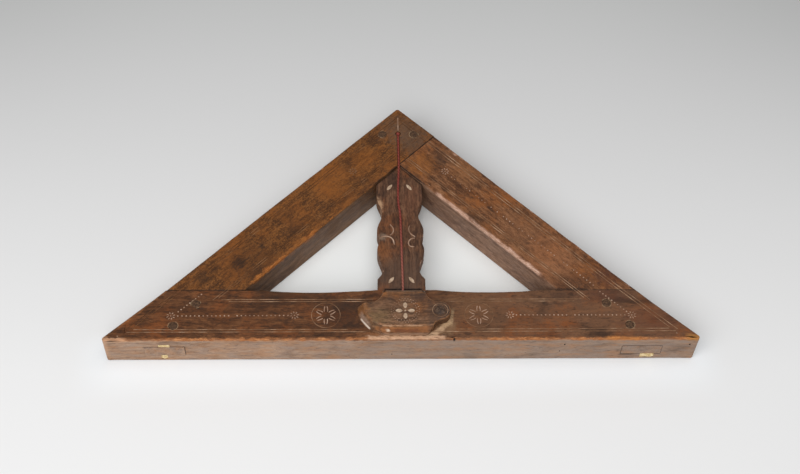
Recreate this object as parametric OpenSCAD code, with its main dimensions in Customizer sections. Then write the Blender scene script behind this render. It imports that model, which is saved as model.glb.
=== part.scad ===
// Square level: two rafters, a sole bar and a scalloped board with a plumb cord, laid on its back.
// X runs along the sole, Y from the sole to the apex and Z out of the carved face.
// Each shape is drawn with the sole at Y = 0; placed() then centres it on the origin.

/* [Frame] */
// Half the sole's length, between the lines of the rafters' outer edges
half_run = 239.5; // [200:0.5:300]
// Thickness of the frame, from its back to its face
frame_t = 32; // [28:0.5:42]
// Width of each rafter
rafter_w = 45; // [40:0.5:56]
// Width of the sole bar
base_w = 47; // [44:0.5:58]
// How far each tip of the sole bar runs out past the rafter's line
tip_flare = 3.6; // [0.5:0.1:6]
// Radius of the sole bar's tips
tip_r = 2; // [1:0.5:4]
// Radius of the blunted apex
apex_r = 2.5; // [1:0.5:5]
// Depth of the shallow hollow in the sole bar's upper edge, in each opening
dip_d = 2; // [0.5:0.1:3]
// Where each hollow starts, from the centre line
dip_from = 28; // [24:1:36]
// Flat length left between each hollow and the rafter's foot
dip_margin = 15; // [5:1:30]

/* [Joints] */
// Wood in front of the tenons
front_cheek = 11.2; // [10.8:0.1:14]
// Wood behind the tenons
back_cheek = 8.5; // [6:0.5:12]
// Width of each foot tenon, square to the rafter
tenon_w = 22.7; // [18:0.1:26]
// How far the right foot tenon is set in from the rafter's inner edge
right_tenon_in = 2.3; // [0:0.1:4]
// Gap left round the tenons, tongues and shoulders
joint_gap = 0.15; // [0.05:0.05:0.25]
// Diameter of the joint pegs
peg_d = 7.2; // [5:0.1:8]
// How far the joint pegs stand out of the face
peg_proud = 0.3; // [0:0.1:1]
// Gap round each peg
peg_gap = 0.05; // [0.02:0.01:0.1]
// How far each apex peg sits inside the side corner of the apex joint
apex_peg_in = 18; // [15.5:0.5:23.5]
// How far the apex pegs sit above the middle of the apex joint
apex_peg_up = 2; // [0:0.5:4]
// Height of the upper foot pegs above the sole
foot_peg_upper_y = 34; // [30:0.5:38]
// Upper foot pegs: distance in from the tenon's outer side
foot_peg_upper_in = 4.7; // [4.5:0.1:9]
// Height of the lower foot pegs above the sole
foot_peg_lower_y = 13.5; // [13:0.5:18]
// Lower foot pegs: distance in from the tenon's outer side
foot_peg_lower_in = 7.1; // [4.5:0.1:12]

/* [Slips] */
// Depth of the slips that tighten the foot tenons
slip_l = 8; // [4:0.5:9]
// Thickness of each slip at its inner end
slip_point_t = 0.8; // [0.4:0.1:1.5]
// Left front slip: thickness at the sole
left_front_slip_t = 3.4; // [2:0.1:5]
// Left front slip: width
left_front_slip_w = 6.3; // [3:0.1:8]
// Left front slip: distance from the tenon's outer side
left_front_slip_in = 8.2; // [2:0.1:12]
// Left back slip: thickness at the sole
left_back_slip_t = 5.5; // [2:0.1:5.8]
// Left back slip: width
left_back_slip_w = 3.5; // [2:0.1:8]
// Left back slip: distance from the tenon's outer side
left_back_slip_in = 8.9; // [2:0.1:12]
// Right back slip: thickness at the sole
right_back_slip_t = 5.2; // [2:0.1:5.8]
// Right back slip: width
right_back_slip_w = 7.8; // [3:0.1:9]
// Right back slip: distance from the tenon's outer side
right_back_slip_in = 3.4; // [1:0.1:8]

/* [Board] */
// Width of the board at its shoulders, lobes and foot
board_w = 39.4; // [38:0.2:46]
// Width of the board at its two necks
neck_w = 30.4; // [26:0.2:34]
// Width of the board at the sharp nick between its lobes
nick_w = 34.6; // [32:0.2:37]
// Thickness of the board
board_t = 12; // [11:0.5:16]
// How far the board's face lies below the frame's face
board_in = 2; // [1.5:0.1:3]
// Thickness of the board's tongues
tongue_t = 4; // [3:0.1:4.2]
// Distance of the tongues behind the board's face
tongue_in = 4.4; // [4.1:0.1:4.6]
// Depth of the board's upper tongue in the rafters
tongue_l = 6; // [3:0.5:9]
// How far the tongues stop short of the board's sides
tongue_side = 2; // [1:0.1:4]
// Wood left between the board's foot tongue and the bob pocket
tongue_skin = 1.4; // [0.8:0.1:2]

/* [Inlays] */
// Length of each leaf on the board
leaf_l = 7.6; // [5:0.1:9]
// Width of each leaf on the board
leaf_w = 2.9; // [2:0.1:4]
// Distance of the leaves from the centre line
leaf_x = 8.4; // [7:0.1:11]
// Slant of the leaves
leaf_slant = 53; // [40:1:65]
// How far the upper leaves lie below the board's shoulders
leaf_upper_drop = 3.2; // [1:0.1:6]
// Height of the lower leaves above the sole bar
leaf_lower_up = 11; // [8:0.1:14]
// Length of each petal on the cover
petal_l = 5.8; // [4:0.1:6.4]
// Width of each petal on the cover
petal_w = 3.4; // [2:0.1:4.4]
// Distance of each petal's middle from the flower's middle
petal_out = 5; // [4.6:0.1:7]
// Diameter of the flower's eye
eye_d = 1.6; // [1:0.1:2]
// Distance of the flower from the cord's line
flower_x = 2.1; // [0:0.1:4]
// How far the flower lies below the pocket's centre
flower_drop = 2.9; // [0:0.1:4]
// Depth of every inlay
inlay_t = 1.2; // [0.8:0.1:1.6]
// Gap round every inlay
inlay_gap = 0.05; // [0.02:0.01:0.1]

/* [Bob pocket] */
// Radius of the round pocket in the sole bar
pocket_r = 17; // [16.4:0.1:17.4]
// Depth of the pocket below the face
pocket_d = 12.3; // [11:0.1:16]
// Wood left above the pocket
pocket_wall = 4.4; // [3.6:0.1:6]
// Width of the slot that lets the cord into the pocket
slot_w = 33.4; // [24:0.2:34]
// Distance of the slot's middle from the cord's line
slot_x = 1.4; // [0:0.1:2]
// Depth of the slot below the face
slot_d = 5.6; // [4:0.1:6]
// Height of the notch that the slot cuts into the board's foot
notch_h = 1.7; // [1:0.1:3]
// How far each end of the notch runs in over its height
notch_in = 2; // [0:0.1:4]

/* [Cover] */
// Thickness of the cover
cover_t = 7.5; // [7:0.1:10]
// Gap between the cover and the face
cover_gap = 0.15; // [0.05:0.05:0.3]
// Radius of the cover's round left end, at the face
lobe_r = 24.3; // [22:0.1:27]
// Distance of the left end's centre from the cord's line
lobe_x = 12.2; // [10:0.1:14]
// Distance of the cover's front edge from the pocket's centre
cover_front = 21.9; // [21:0.1:23]
// Distance of the cover's back edge from the pocket's centre
cover_back = 18.1; // [17.4:0.1:19]
// How far the sloped sides lean in over the cover's thickness
cover_lean = 5.4; // [3:0.1:6]
// Height of the left end's upper edge above the pocket's centre
lobe_top = 5.2; // [3:0.1:8]
// Left side of the cover's tab, from the cord's line
tab_left = 16; // [15.4:0.1:18]
// Right side of the cover's tab, from the cord's line
tab_right = 18.5; // [17.5:0.1:20]
// Height of the chamfer along the tab's back
tab_chamfer_h = 3; // [1:0.1:3.6]
// Length of the chamfer along the tab's back
tab_chamfer_l = 3.4; // [1:0.1:4]
// Radius of the hollow curve beside the tab, on the left
left_hollow_r = 11.2; // [9:0.1:12.5]
// Radius of the hollow curve beside the tab, on the right
right_hollow_r = 11.4; // [9:0.1:12]
// Radius of the hollow curve below the ear
ear_hollow_r = 8; // [6:0.1:9]
// Direction of that hollow from the pivot
ear_hollow_dir = -82.5; // [-86:0.5:-80]
// Radius of the cover's lower right corner
corner_r = 6; // [4:0.1:7]
// Distance of that corner's centre from the cord's line
corner_x = 17.5; // [16:0.1:18.5]
// Radius of the dish under the cover
dish_r = 15.2; // [14.5:0.1:15.6]
// Depth of the dish under the cover
dish_d = 5.5; // [4.8:0.1:5.6]

/* [Pivot] */
// Distance of the pivot from the cord's line
pivot_x = 30.3; // [29.6:0.1:32]
// How far the pivot lies below the pocket's centre
pivot_drop = 2.6; // [1.5:0.1:4]
// Radius of the cover's ear round the pivot
ear_r = 8.7; // [7.5:0.1:10]
// Diameter of the pivot peg's shank
pivot_d = 6; // [4.5:0.1:7]
// Diameter of the pivot peg's head
pivot_head_d = 8.8; // [8:0.1:11]
// Thickness of the pivot peg's head
pivot_head_t = 3; // [2:0.1:4]
// Height of the head's dome
pivot_dome_h = 0.8; // [0.3:0.1:1.4]
// Length of the pivot peg inside the sole bar
pivot_in = 18; // [10:0.5:24]
// Running gap round the pivot peg
pivot_gap = 0.08; // [0.03:0.01:0.1]

/* [Plumb line] */
// Diameter of the cord
cord_d = 1.9; // [1.5:0.1:2.2]
// Diameter of the cord's knot
knot_d = 4.2; // [3:0.1:5]
// How far the knot's middle lies below the face
knot_sink = 0.5; // [0:0.1:1]
// Height of the knot above the middle of the apex joint
knot_up = 3; // [2.9:0.1:6]
// Depth of the hole under the knot
knot_hole_d = 7; // [5:0.5:9]
// Gap round the knot and the cord
cord_gap = 0.25; // [0.15:0.05:0.4]
// Depth of the groove that leads the cord over the apex joint
groove_d = 1.9; // [1.8:0.1:3]
// Diameter of the plumb bob
bob_d = 11.5; // [8:0.1:11.6]
// Length of the plumb bob
bob_l = 23; // [16:0.5:23.5]
// Gap between the bob and the pocket's floor
bob_gap = 0.3; // [0.2:0.05:0.6]

/* [Hidden] */

root2 = sqrt(2);
round_fn = 64;
wide_fn = 360;
// How far a cut runs past the face that it opens
over = 1;
// Reach of a cut that clears the whole cover
reach = lobe_x + lobe_r + pivot_x + ear_r;

// Where the rafters' inner edges meet, the middle of the apex joint, and the frame's height
inner_y = half_run - rafter_w * root2;
apex_mid_y = half_run - rafter_w / root2;
frame_h = half_run - apex_r * (root2 - 1);

tenon_t = frame_t - front_cheek - back_cheek;
left_tenon_v = rafter_w - tenon_w;
right_tenon_v = rafter_w - tenon_w - right_tenon_in;

tip_angle = atan2(base_w, base_w + tip_flare);
tip_run = tip_r / tan(tip_angle / 2);
tip_x = half_run + tip_flare;

dip_to = inner_y - base_w - dip_margin;
dip_chord = dip_to - dip_from;
dip_r = dip_chord * dip_chord / (8 * dip_d) + dip_d / 2;

board_face = frame_t - board_in;
board_half = board_w / 2;
shoulder_y = inner_y - board_half;
tongue_z = board_face - tongue_in - tongue_t;
foot_tongue_l = pocket_wall - tongue_skin;

pocket_y = base_w - pocket_wall - pocket_r;
cover_z = frame_t + cover_gap;
cover_top = cover_z + cover_t;
pivot_y = pocket_y - pivot_drop;
flower_y = pocket_y - flower_drop;
lobe_y = lobe_r - cover_front;
ear_reach = ear_r + ear_hollow_r;
ear_hollow_c = [pivot_x + ear_reach * cos(ear_hollow_dir), -pivot_drop + ear_reach * sin(ear_hollow_dir)];
corner_c = [corner_x, corner_r - cover_front];
right_hollow_x = tab_right + right_hollow_r;
right_hollow_rise = sqrt(pow(ear_r + right_hollow_r, 2) - pow(right_hollow_x - pivot_x, 2));
right_hollow_c = [right_hollow_x, right_hollow_rise - pivot_drop];
left_hollow_c = [-tab_left - left_hollow_r, lobe_top + left_hollow_r];

knot_y = apex_mid_y + knot_up;
knot_z = frame_t - knot_sink;
bob_z = frame_t - pocket_d + bob_gap + bob_d / 2;

// The cord's route: across, up from the sole, and down from the face. It runs from the knot to the
// lip below the apex, and from there to the bob.
UPPER_ROUTE = [[0, 208.5, 0.8], [0, 203.5, 0.8], [0, 198.5, 0.8], [0, 193.5, 0.8], [0, 188.5, 0.8],
    [0, 183.5, 0.8], [0, 179.5, 0.8], [0, 176, 0.8]];
LOWER_ROUTE = [[0, 175.7, 0.8], [-0.2, 170, 0.8], [-0.5, 163, 0.8], [-0.9, 157, 0.8], [-1.1, 151, 0.8],
    [-1.2, 145, 0.8], [-1.2, 139, 0.8], [-0.9, 133, 0.8], [-0.1, 127, 0.8], [0.3, 121, 0.8],
    [0.4, 115, 0.8], [0.5, 109, 0.8], [0.5, 103, 0.8], [0.6, 97, 0.8], [0.7, 91, 0.8], [0.7, 85, 0.8],
    [0.7, 79, 0.8], [0.8, 73, 0.8], [0.9, 67, 0.8], [0.9, 61, 0.8], [1, 55, 0.8], [1, 51, 0.8],
    [1, 48.6, 0.9], [0.9, 46.4, 1.6], [0.8, 44.2, 2.6], [0.6, 42, 3.6], [0.4, 40, 4.5], [0.2, 38.3, 5.5],
    [0, 36.8, 6.2], [0, 35.5, 6.2]];
CORD_SIDES = 8;
bob_top_y = LOWER_ROUTE[len(LOWER_ROUTE) - 1][1];

// Moves a shape drawn from the sole to the origin, below the middle of the frame
module placed() {
    translate([0, -frame_h / 2, 0]) children();
}

// A flat slab of a plan outline, from height z up by t
module slab(z, t) {
    translate([0, 0, z]) linear_extrude(t) children();
}

// Draws what follows on the left side instead of the right
module on_left() {
    mirror([1, 0, 0]) children();
}

// Band beside the right outer edge, from depth v0 to v1 square to the edge, between heights y0 and y1
module band(v0, v1, y0, y1) {
    polygon([
        [half_run - v0 * root2 - y0, y0],
        [half_run - v1 * root2 - y0, y0],
        [half_run - v1 * root2 - y1, y1],
        [half_run - v0 * root2 - y1, y1]
    ]);
}

// A leaf with two pointed ends: where two equal circles cross
module leaf(length, width) {
    r = (length * length + width * width) / (4 * width);
    intersection() {
        translate([0, r - width / 2]) circle(r, $fn = round_fn);
        translate([0, width / 2 - r]) circle(r, $fn = round_fn);
    }
}

// The blunted right angle of the apex, over the square of the joint
module apex_square() {
    polygon([
        [0, inner_y],
        [rafter_w / root2, apex_mid_y],
        [apex_r / root2, half_run - apex_r / root2],
        [-apex_r / root2, half_run - apex_r / root2],
        [-rafter_w / root2, apex_mid_y]
    ]);
    translate([0, half_run - apex_r * root2]) circle(apex_r, $fn = round_fn);
}

// Outline of a rafter below the apex joint, standing on the sole bar's upper edge
module rafter_leg(top_gap) {
    foot = base_w + joint_gap;
    polygon([
        [half_run - foot, foot],
        [inner_y - foot, foot],
        [top_gap, inner_y - top_gap],
        [rafter_w / root2 + top_gap, apex_mid_y - top_gap]
    ]);
}

// A foot tenon that runs through the sole bar to the sole
module foot_tenon(v) {
    slab(back_cheek, tenon_t) band(v, v + tenon_w, 0, base_w + tip_run);
}

module foot_mortise(v) {
    slab(back_cheek - joint_gap, tenon_t + 2 * joint_gap)
        band(v - joint_gap, v + tenon_w + joint_gap, -over, base_w + over);
}

function foot_peg_at(y, inset) = [half_run - (left_tenon_v + inset) * root2 - y, y];
UPPER_PEG = foot_peg_at(foot_peg_upper_y, foot_peg_upper_in);
LOWER_PEG = foot_peg_at(foot_peg_lower_y, foot_peg_lower_in);
APEX_PEG = [rafter_w / root2 - apex_peg_in, apex_mid_y + apex_peg_up];

module joint_peg(at) {
    translate([at[0], at[1], 0]) cylinder(h = frame_t + peg_proud, d = peg_d, $fn = round_fn);
}

module peg_bore(at) {
    translate([at[0], at[1], -over])
        cylinder(h = frame_t + 2 * over, d = peg_d + 2 * peg_gap, $fn = round_fn);
}

module foot_peg_bores() {
    peg_bore(UPPER_PEG);
    peg_bore(LOWER_PEG);
}

module apex_peg_bores() {
    peg_bore(APEX_PEG);
    on_left() peg_bore(APEX_PEG);
}

// A thin wedge on one cheek of a foot tenon; dir is 1 in front of the tenon and -1 behind it
module slip(v, width, thick, dir, gap) {
    start = dir > 0 ? back_cheek + tenon_t + joint_gap : back_cheek - joint_gap;
    opened = gap > 0 ? over : 0;
    root = start - dir * opened;
    intersection() {
        slab(0, frame_t) band(v - gap, v + width + gap, -opened, slip_l + gap);
        multmatrix([[0, 0, 1, 0], [1, 0, 0, 0], [0, 1, 0, 0], [0, 0, 0, 1]])
            linear_extrude(half_run) polygon([
                [-opened, root],
                [-opened, start + dir * (thick + gap)],
                [0, start + dir * (thick + gap)],
                [slip_l + gap, start + dir * (slip_point_t + gap)],
                [slip_l + gap, root]
            ]);
    }
}

module left_front_slip_shape(gap = 0) {
    on_left() slip(left_tenon_v + left_front_slip_in, left_front_slip_w, left_front_slip_t, 1, gap);
}

module left_back_slip_shape(gap = 0) {
    on_left() slip(left_tenon_v + left_back_slip_in, left_back_slip_w, left_back_slip_t, -1, gap);
}

module right_back_slip_shape(gap = 0) {
    slip(right_tenon_v + right_back_slip_in, right_back_slip_w, right_back_slip_t, -1, gap);
}

// Groove for the board's upper tongue, and the tongue itself
module upper_tongue(gap) {
    side = board_half - tongue_side + gap;
    peak = inner_y + (tongue_l + gap) * root2;
    slab(tongue_z - gap, tongue_t + 2 * gap)
        polygon([[side, inner_y - side - tongue_l], [side, peak - side], [0, peak],
            [-side, peak - side], [-side, inner_y - side - tongue_l]]);
}

// Tongue under the board's foot, and its mortise in the sole bar
module foot_tongue(gap, rise) {
    side = board_half - tongue_side + gap;
    translate([-side, base_w - foot_tongue_l - gap, tongue_z - gap])
        cube([2 * side, foot_tongue_l + gap + rise, tongue_t + 2 * gap]);
}

// Slot for the cord through the wall above the pocket, with the notch that it cuts in the board's foot
module cord_slot() {
    half = slot_w / 2;
    notch_top = base_w + notch_h;
    slab(frame_t - slot_d, slot_d + over)
        polygon([
            [slot_x - half, pocket_y],
            [slot_x + half, pocket_y],
            [slot_x + half, base_w],
            [slot_x + half - notch_in, notch_top],
            [slot_x - half + notch_in, notch_top],
            [slot_x - half, base_w]
        ]);
}

module base_plan() {
    slant = [tip_x - tip_run * cos(tip_angle), tip_run * sin(tip_angle)];
    difference() {
        union() {
            polygon([
                [tip_x - tip_run, 0],
                slant,
                [half_run - base_w, base_w],
                [base_w - half_run, base_w],
                [-slant[0], slant[1]],
                [tip_run - tip_x, 0]
            ]);
            for (side = [-1, 1])
                translate([side * (tip_x - tip_run), tip_r]) circle(tip_r, $fn = round_fn);
        }
        for (side = [-1, 1])
            translate([side * (dip_from + dip_to) / 2, base_w + dip_r - dip_d]) circle(dip_r, $fn = wide_fn);
    }
}

module base_bar() {
    color("saddlebrown") placed() difference() {
        slab(0, frame_t) base_plan();
        foot_mortise(right_tenon_v);
        on_left() foot_mortise(left_tenon_v);
        foot_peg_bores();
        on_left() foot_peg_bores();
        left_front_slip_shape(joint_gap);
        left_back_slip_shape(joint_gap);
        right_back_slip_shape(joint_gap);
        translate([0, pocket_y, frame_t - pocket_d])
            cylinder(h = pocket_d + over, r = pocket_r, $fn = round_fn);
        cord_slot();
        foot_tongue(joint_gap, over);
        translate([pivot_x, pivot_y, frame_t - pivot_in])
            cylinder(h = pivot_in + over, d = pivot_d + 2 * peg_gap, $fn = round_fn);
    }
}

// Groove that leads the cord from its knot to the lip below the apex joint
module cord_groove() {
    half = cord_d / 2 + cord_gap;
    lip = inner_y - half - over;
    translate([-half, lip, frame_t - groove_d]) cube([2 * half, knot_y - lip, groove_d + over]);
}

// The left rafter runs on to the right outer edge, forked for the right rafter's tenon
module left_rafter() {
    color("peru") placed() difference() {
        union() {
            slab(0, frame_t) on_left() rafter_leg(0);
            slab(0, frame_t) apex_square();
            on_left() foot_tenon(left_tenon_v);
        }
        slab(back_cheek - joint_gap, tenon_t + 2 * joint_gap)
            band(-over, rafter_w + joint_gap, inner_y - over, half_run + over);
        on_left() foot_peg_bores();
        apex_peg_bores();
        upper_tongue(joint_gap);
        cord_groove();
        translate([0, knot_y, frame_t - knot_hole_d])
            cylinder(h = knot_hole_d + over, d = knot_d + 2 * cord_gap, $fn = round_fn);
    }
}

module right_rafter() {
    color("sienna") placed() difference() {
        union() {
            slab(0, frame_t) rafter_leg(joint_gap / root2);
            slab(back_cheek, tenon_t) apex_square();
            slab(back_cheek, tenon_t) rafter_leg(0);
            foot_tenon(right_tenon_v);
        }
        foot_peg_bores();
        apex_peg_bores();
        upper_tongue(joint_gap);
        cord_groove();
    }
}

// The scallops divide the board's free side, from the sole bar to its shoulder, at these shares
CORNER_AT = 0.108;
LOWER_NECK_AT = 0.187;
LOWER_LOBE_AT = 0.372;
NICK_AT = 0.46;
UPPER_LOBE_AT = 0.553;
UPPER_NECK_AT = 0.716;
STRAIGHT_AT = 0.883;
CURVE_STEPS = 8;

side_foot = base_w + joint_gap;
side_l = shoulder_y - joint_gap * root2 - side_foot;

// Half width of the board along one stretch: f runs from 0 to 1 between half widths a and b
function wave(a, b, f) = a + (b - a) * (1 - cos(180 * f)) / 2;
function flare(a, b, f) = a + (b - a) * (1 - cos(90 * f));
function swell(a, b, f) = a + (b - a) * sin(90 * f);
function at(share) = side_foot + side_l * share;
function stretch(from, to, widths) =
    [for (i = [0 : CURVE_STEPS]) [widths[i], at(from + (to - from) * i / CURVE_STEPS)]];
function steps_of(kind, a, b) = [for (i = [0 : CURVE_STEPS])
    kind == "wave" ? wave(a, b, i / CURVE_STEPS)
        : kind == "flare" ? flare(b, a, 1 - i / CURVE_STEPS)
        : kind == "swell" ? swell(a, b, i / CURVE_STEPS)
        : swell(b, a, 1 - i / CURVE_STEPS)];
function tail(points) = [for (i = [1 : len(points) - 1]) points[i]];

BOARD_SIDE = concat(
    [[board_half, side_foot]],
    stretch(CORNER_AT, LOWER_NECK_AT, steps_of("flare", board_half, neck_w / 2)),
    tail(stretch(LOWER_NECK_AT, LOWER_LOBE_AT, steps_of("wave", neck_w / 2, board_half))),
    tail(stretch(LOWER_LOBE_AT, NICK_AT, steps_of("fall", board_half, nick_w / 2))),
    tail(stretch(NICK_AT, UPPER_LOBE_AT, steps_of("swell", nick_w / 2, board_half))),
    tail(stretch(UPPER_LOBE_AT, UPPER_NECK_AT, steps_of("wave", board_half, neck_w / 2))),
    tail(stretch(UPPER_NECK_AT, STRAIGHT_AT, steps_of("wave", neck_w / 2, board_half))),
    [[board_half, at(1)]]
);

module board_plan() {
    last = len(BOARD_SIDE) - 1;
    polygon(concat(
        BOARD_SIDE,
        [[0, inner_y - joint_gap * root2]],
        [for (i = [last : -1 : 0]) [-BOARD_SIDE[i][0], BOARD_SIDE[i][1]]]
    ));
}

function leaf_y(upper) = upper ? shoulder_y - leaf_upper_drop : base_w + leaf_lower_up;

module board_leaf(side, upper, gap = 0) {
    translate([side * leaf_x, leaf_y(upper), board_face - inlay_t - gap])
        linear_extrude(inlay_t + (gap > 0 ? over : 0))
            rotate(-side * leaf_slant) leaf(leaf_l + 2 * gap, leaf_w + 2 * gap);
}

module plumb_board() {
    color("rosybrown") placed() difference() {
        union() {
            slab(board_face - board_t, board_t) board_plan();
            upper_tongue(0);
            foot_tongue(0, tongue_l);
        }
        cord_slot();
        for (side = [-1, 1], upper = [true, false]) board_leaf(side, upper, inlay_gap);
    }
}

// Outline of the cover on the face, drawn round the pocket's centre
module cover_plan() {
    difference() {
        union() {
            translate([-lobe_x, lobe_y]) circle(lobe_r, $fn = round_fn * 2);
            translate(corner_c) circle(corner_r, $fn = round_fn);
            translate([pivot_x, -pivot_drop]) circle(ear_r, $fn = round_fn);
            polygon([
                [-lobe_x, -cover_front],
                [corner_x, -cover_front],
                corner_c,
                ear_hollow_c,
                [pivot_x, -pivot_drop],
                right_hollow_c,
                [tab_right, right_hollow_c[1]],
                [tab_right, cover_back],
                [-tab_left, cover_back],
                [-tab_left, left_hollow_c[1]],
                [left_hollow_c[0], lobe_top],
                [-lobe_x, 0]
            ]);
        }
        translate(ear_hollow_c) circle(ear_hollow_r, $fn = round_fn);
        translate(right_hollow_c) circle(right_hollow_r, $fn = round_fn);
        translate(left_hollow_c) circle(left_hollow_r, $fn = round_fn);
        translate([left_hollow_c[0] - reach, lobe_top]) square([reach, reach]);
        translate([-tab_left - reach, left_hollow_c[1]]) square([reach, reach]);
        translate([-reach, cover_back]) square([2 * reach, reach]);
    }
}

// The sloped left end and front of the cover
module cover_slopes() {
    translate([-lobe_x, lobe_y, 0])
        cylinder(h = cover_t, r1 = lobe_r, r2 = lobe_r - cover_lean, $fn = round_fn * 2);
    translate([-lobe_x, 0, 0])
        multmatrix([[0, 0, 1, 0], [1, 0, 0, 0], [0, 1, 0, 0], [0, 0, 0, 1]])
            linear_extrude(reach) polygon([
                [-cover_front, 0],
                [cover_lean - cover_front, cover_t],
                [reach, cover_t],
                [reach, 0]
            ]);
}

// The chamfer along the back of the tab
module tab_chamfer() {
    translate([-reach, 0, 0])
        multmatrix([[0, 0, 1, 0], [1, 0, 0, 0], [0, 1, 0, 0], [0, 0, 0, 1]])
            linear_extrude(2 * reach) polygon([
                [cover_back - tab_chamfer_l, cover_t],
                [cover_back, cover_t - tab_chamfer_h],
                [cover_back + over, cover_t - tab_chamfer_h],
                [cover_back + over, cover_t + over],
                [cover_back - tab_chamfer_l, cover_t + over]
            ]);
}

module cover_petal(turn, gap = 0) {
    translate([flower_x, flower_y, cover_top - inlay_t - gap])
        rotate([0, 0, turn]) translate([petal_out, 0, 0])
            linear_extrude(inlay_t + (gap > 0 ? over : 0)) leaf(petal_l + 2 * gap, petal_w + 2 * gap);
}

module flower_eye(gap = 0) {
    translate([flower_x, flower_y, cover_top - inlay_t - gap])
        cylinder(h = inlay_t + (gap > 0 ? over : 0), d = eye_d + 2 * gap, $fn = round_fn);
}

module bob_cover() {
    color("darkolivegreen") placed() difference() {
        translate([0, pocket_y, cover_z]) difference() {
            intersection() {
                linear_extrude(cover_t) cover_plan();
                cover_slopes();
            }
            tab_chamfer();
            translate([0, 0, -over]) cylinder(h = dish_d + over, r = dish_r, $fn = round_fn);
        }
        translate([pivot_x, pivot_y, cover_z - over])
            cylinder(h = cover_t + 2 * over, d = pivot_d + 2 * pivot_gap, $fn = round_fn);
        translate([pivot_x, pivot_y, cover_top - pivot_head_t - pivot_gap])
            cylinder(h = pivot_head_t + over, d = pivot_head_d + 2 * pivot_gap, $fn = round_fn);
        for (turn = [0 : 90 : 270]) cover_petal(turn, inlay_gap);
        flower_eye(inlay_gap);
    }
}

// The pivot peg: a shank in the sole bar, and a domed head sunk into the cover's ear
module cover_pivot() {
    head_r = pivot_head_d / 2;
    dome_r = (head_r * head_r + pivot_dome_h * pivot_dome_h) / (2 * pivot_dome_h);
    head_z = cover_top - pivot_head_t;
    color("black") placed() translate([pivot_x, pivot_y, 0]) {
        translate([0, 0, frame_t - pivot_in])
            cylinder(h = head_z - frame_t + pivot_in, d = pivot_d, $fn = round_fn);
        translate([0, 0, head_z]) intersection() {
            cylinder(h = pivot_head_t + pivot_dome_h, d = pivot_head_d, $fn = round_fn);
            translate([0, 0, pivot_head_t + pivot_dome_h - dome_r]) sphere(dome_r, $fn = round_fn * 2);
        }
    }
}

module apex_peg_left() {
    color("maroon") placed() on_left() joint_peg(APEX_PEG);
}

module apex_peg_right() {
    color("maroon") placed() joint_peg(APEX_PEG);
}

module left_foot_peg_upper() {
    color("maroon") placed() on_left() joint_peg(UPPER_PEG);
}

module left_foot_peg_lower() {
    color("maroon") placed() on_left() joint_peg(LOWER_PEG);
}

module right_foot_peg_upper() {
    color("maroon") placed() joint_peg(UPPER_PEG);
}

module right_foot_peg_lower() {
    color("maroon") placed() joint_peg(LOWER_PEG);
}

module left_slip_front() {
    color("burlywood") placed() left_front_slip_shape();
}

module left_slip_back() {
    color("burlywood") placed() left_back_slip_shape();
}

module right_slip_back() {
    color("burlywood") placed() right_back_slip_shape();
}

module cord_knot() {
    color("firebrick") placed() translate([0, knot_y, knot_z]) sphere(d = knot_d, $fn = round_fn);
}

function from_back(route) = [for (p = route) [p[0], p[1], frame_t - p[2]]];
function unit(v) = v / norm(v);
function tangent(route, i) = unit(route[min(i + 1, len(route) - 1)] - route[max(i - 1, 0)]);

// A round tube along a route, as rings of points square to it
module tube(route, d) {
    rings = len(route);
    points = [for (i = [0 : rings - 1], k = [0 : CORD_SIDES - 1])
        let (
            along = tangent(route, i),
            across = unit(cross(along, [0, 0, 1])),
            rise = cross(across, along),
            turn = 360 * k / CORD_SIDES
        )
        route[i] + d / 2 * (cos(turn) * across + sin(turn) * rise)];
    sides = [for (i = [0 : rings - 2], k = [0 : CORD_SIDES - 1])
        let (next = (k + 1) % CORD_SIDES, low = i * CORD_SIDES, high = (i + 1) * CORD_SIDES)
        each [[low + k, high + k, high + next], [low + k, high + next, low + next]]];
    start_cap = [[for (k = [0 : CORD_SIDES - 1]) k]];
    end_cap = [[for (k = [CORD_SIDES - 1 : -1 : 0]) (rings - 1) * CORD_SIDES + k]];
    polyhedron(points = points, faces = concat(sides, start_cap, end_cap), convexity = 4);
}

module cord_upper() {
    color("firebrick") placed() tube(from_back(UPPER_ROUTE), cord_d);
}

module cord_lower() {
    color("firebrick") placed() tube(from_back(LOWER_ROUTE), cord_d);
}

// The bob, turned about the cord's line, with its tip towards the sole
module plumb_bob() {
    belly = bob_d / 2;
    neck = cord_d;
    color("dimgray") placed() translate([0, bob_top_y - bob_l, bob_z]) rotate([-90, 0, 0])
        rotate_extrude($fn = round_fn) polygon([
            [0, 0],
            [belly * 0.1, bob_l * 0.01],
            [belly * 0.55, bob_l * 0.2],
            [belly * 0.88, bob_l * 0.38],
            [belly, bob_l * 0.52],
            [belly * 0.95, bob_l * 0.62],
            [belly * 0.7, bob_l * 0.76],
            [neck, bob_l * 0.86],
            [neck * 1.3, bob_l * 0.89],
            [neck * 1.3, bob_l * 0.95],
            [neck, bob_l],
            [0, bob_l]
        ]);
}

module board_leaf_upper_left() {
    color("ivory") placed() board_leaf(-1, true);
}

module board_leaf_upper_right() {
    color("ivory") placed() board_leaf(1, true);
}

module board_leaf_lower_left() {
    color("ivory") placed() board_leaf(-1, false);
}

module board_leaf_lower_right() {
    color("ivory") placed() board_leaf(1, false);
}

module cover_petal_right() {
    color("ivory") placed() cover_petal(0);
}

module cover_petal_top() {
    color("ivory") placed() cover_petal(90);
}

module cover_petal_left() {
    color("ivory") placed() cover_petal(180);
}

module cover_petal_bottom() {
    color("ivory") placed() cover_petal(270);
}

module cover_flower_eye() {
    color("ivory") placed() flower_eye();
}

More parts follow.
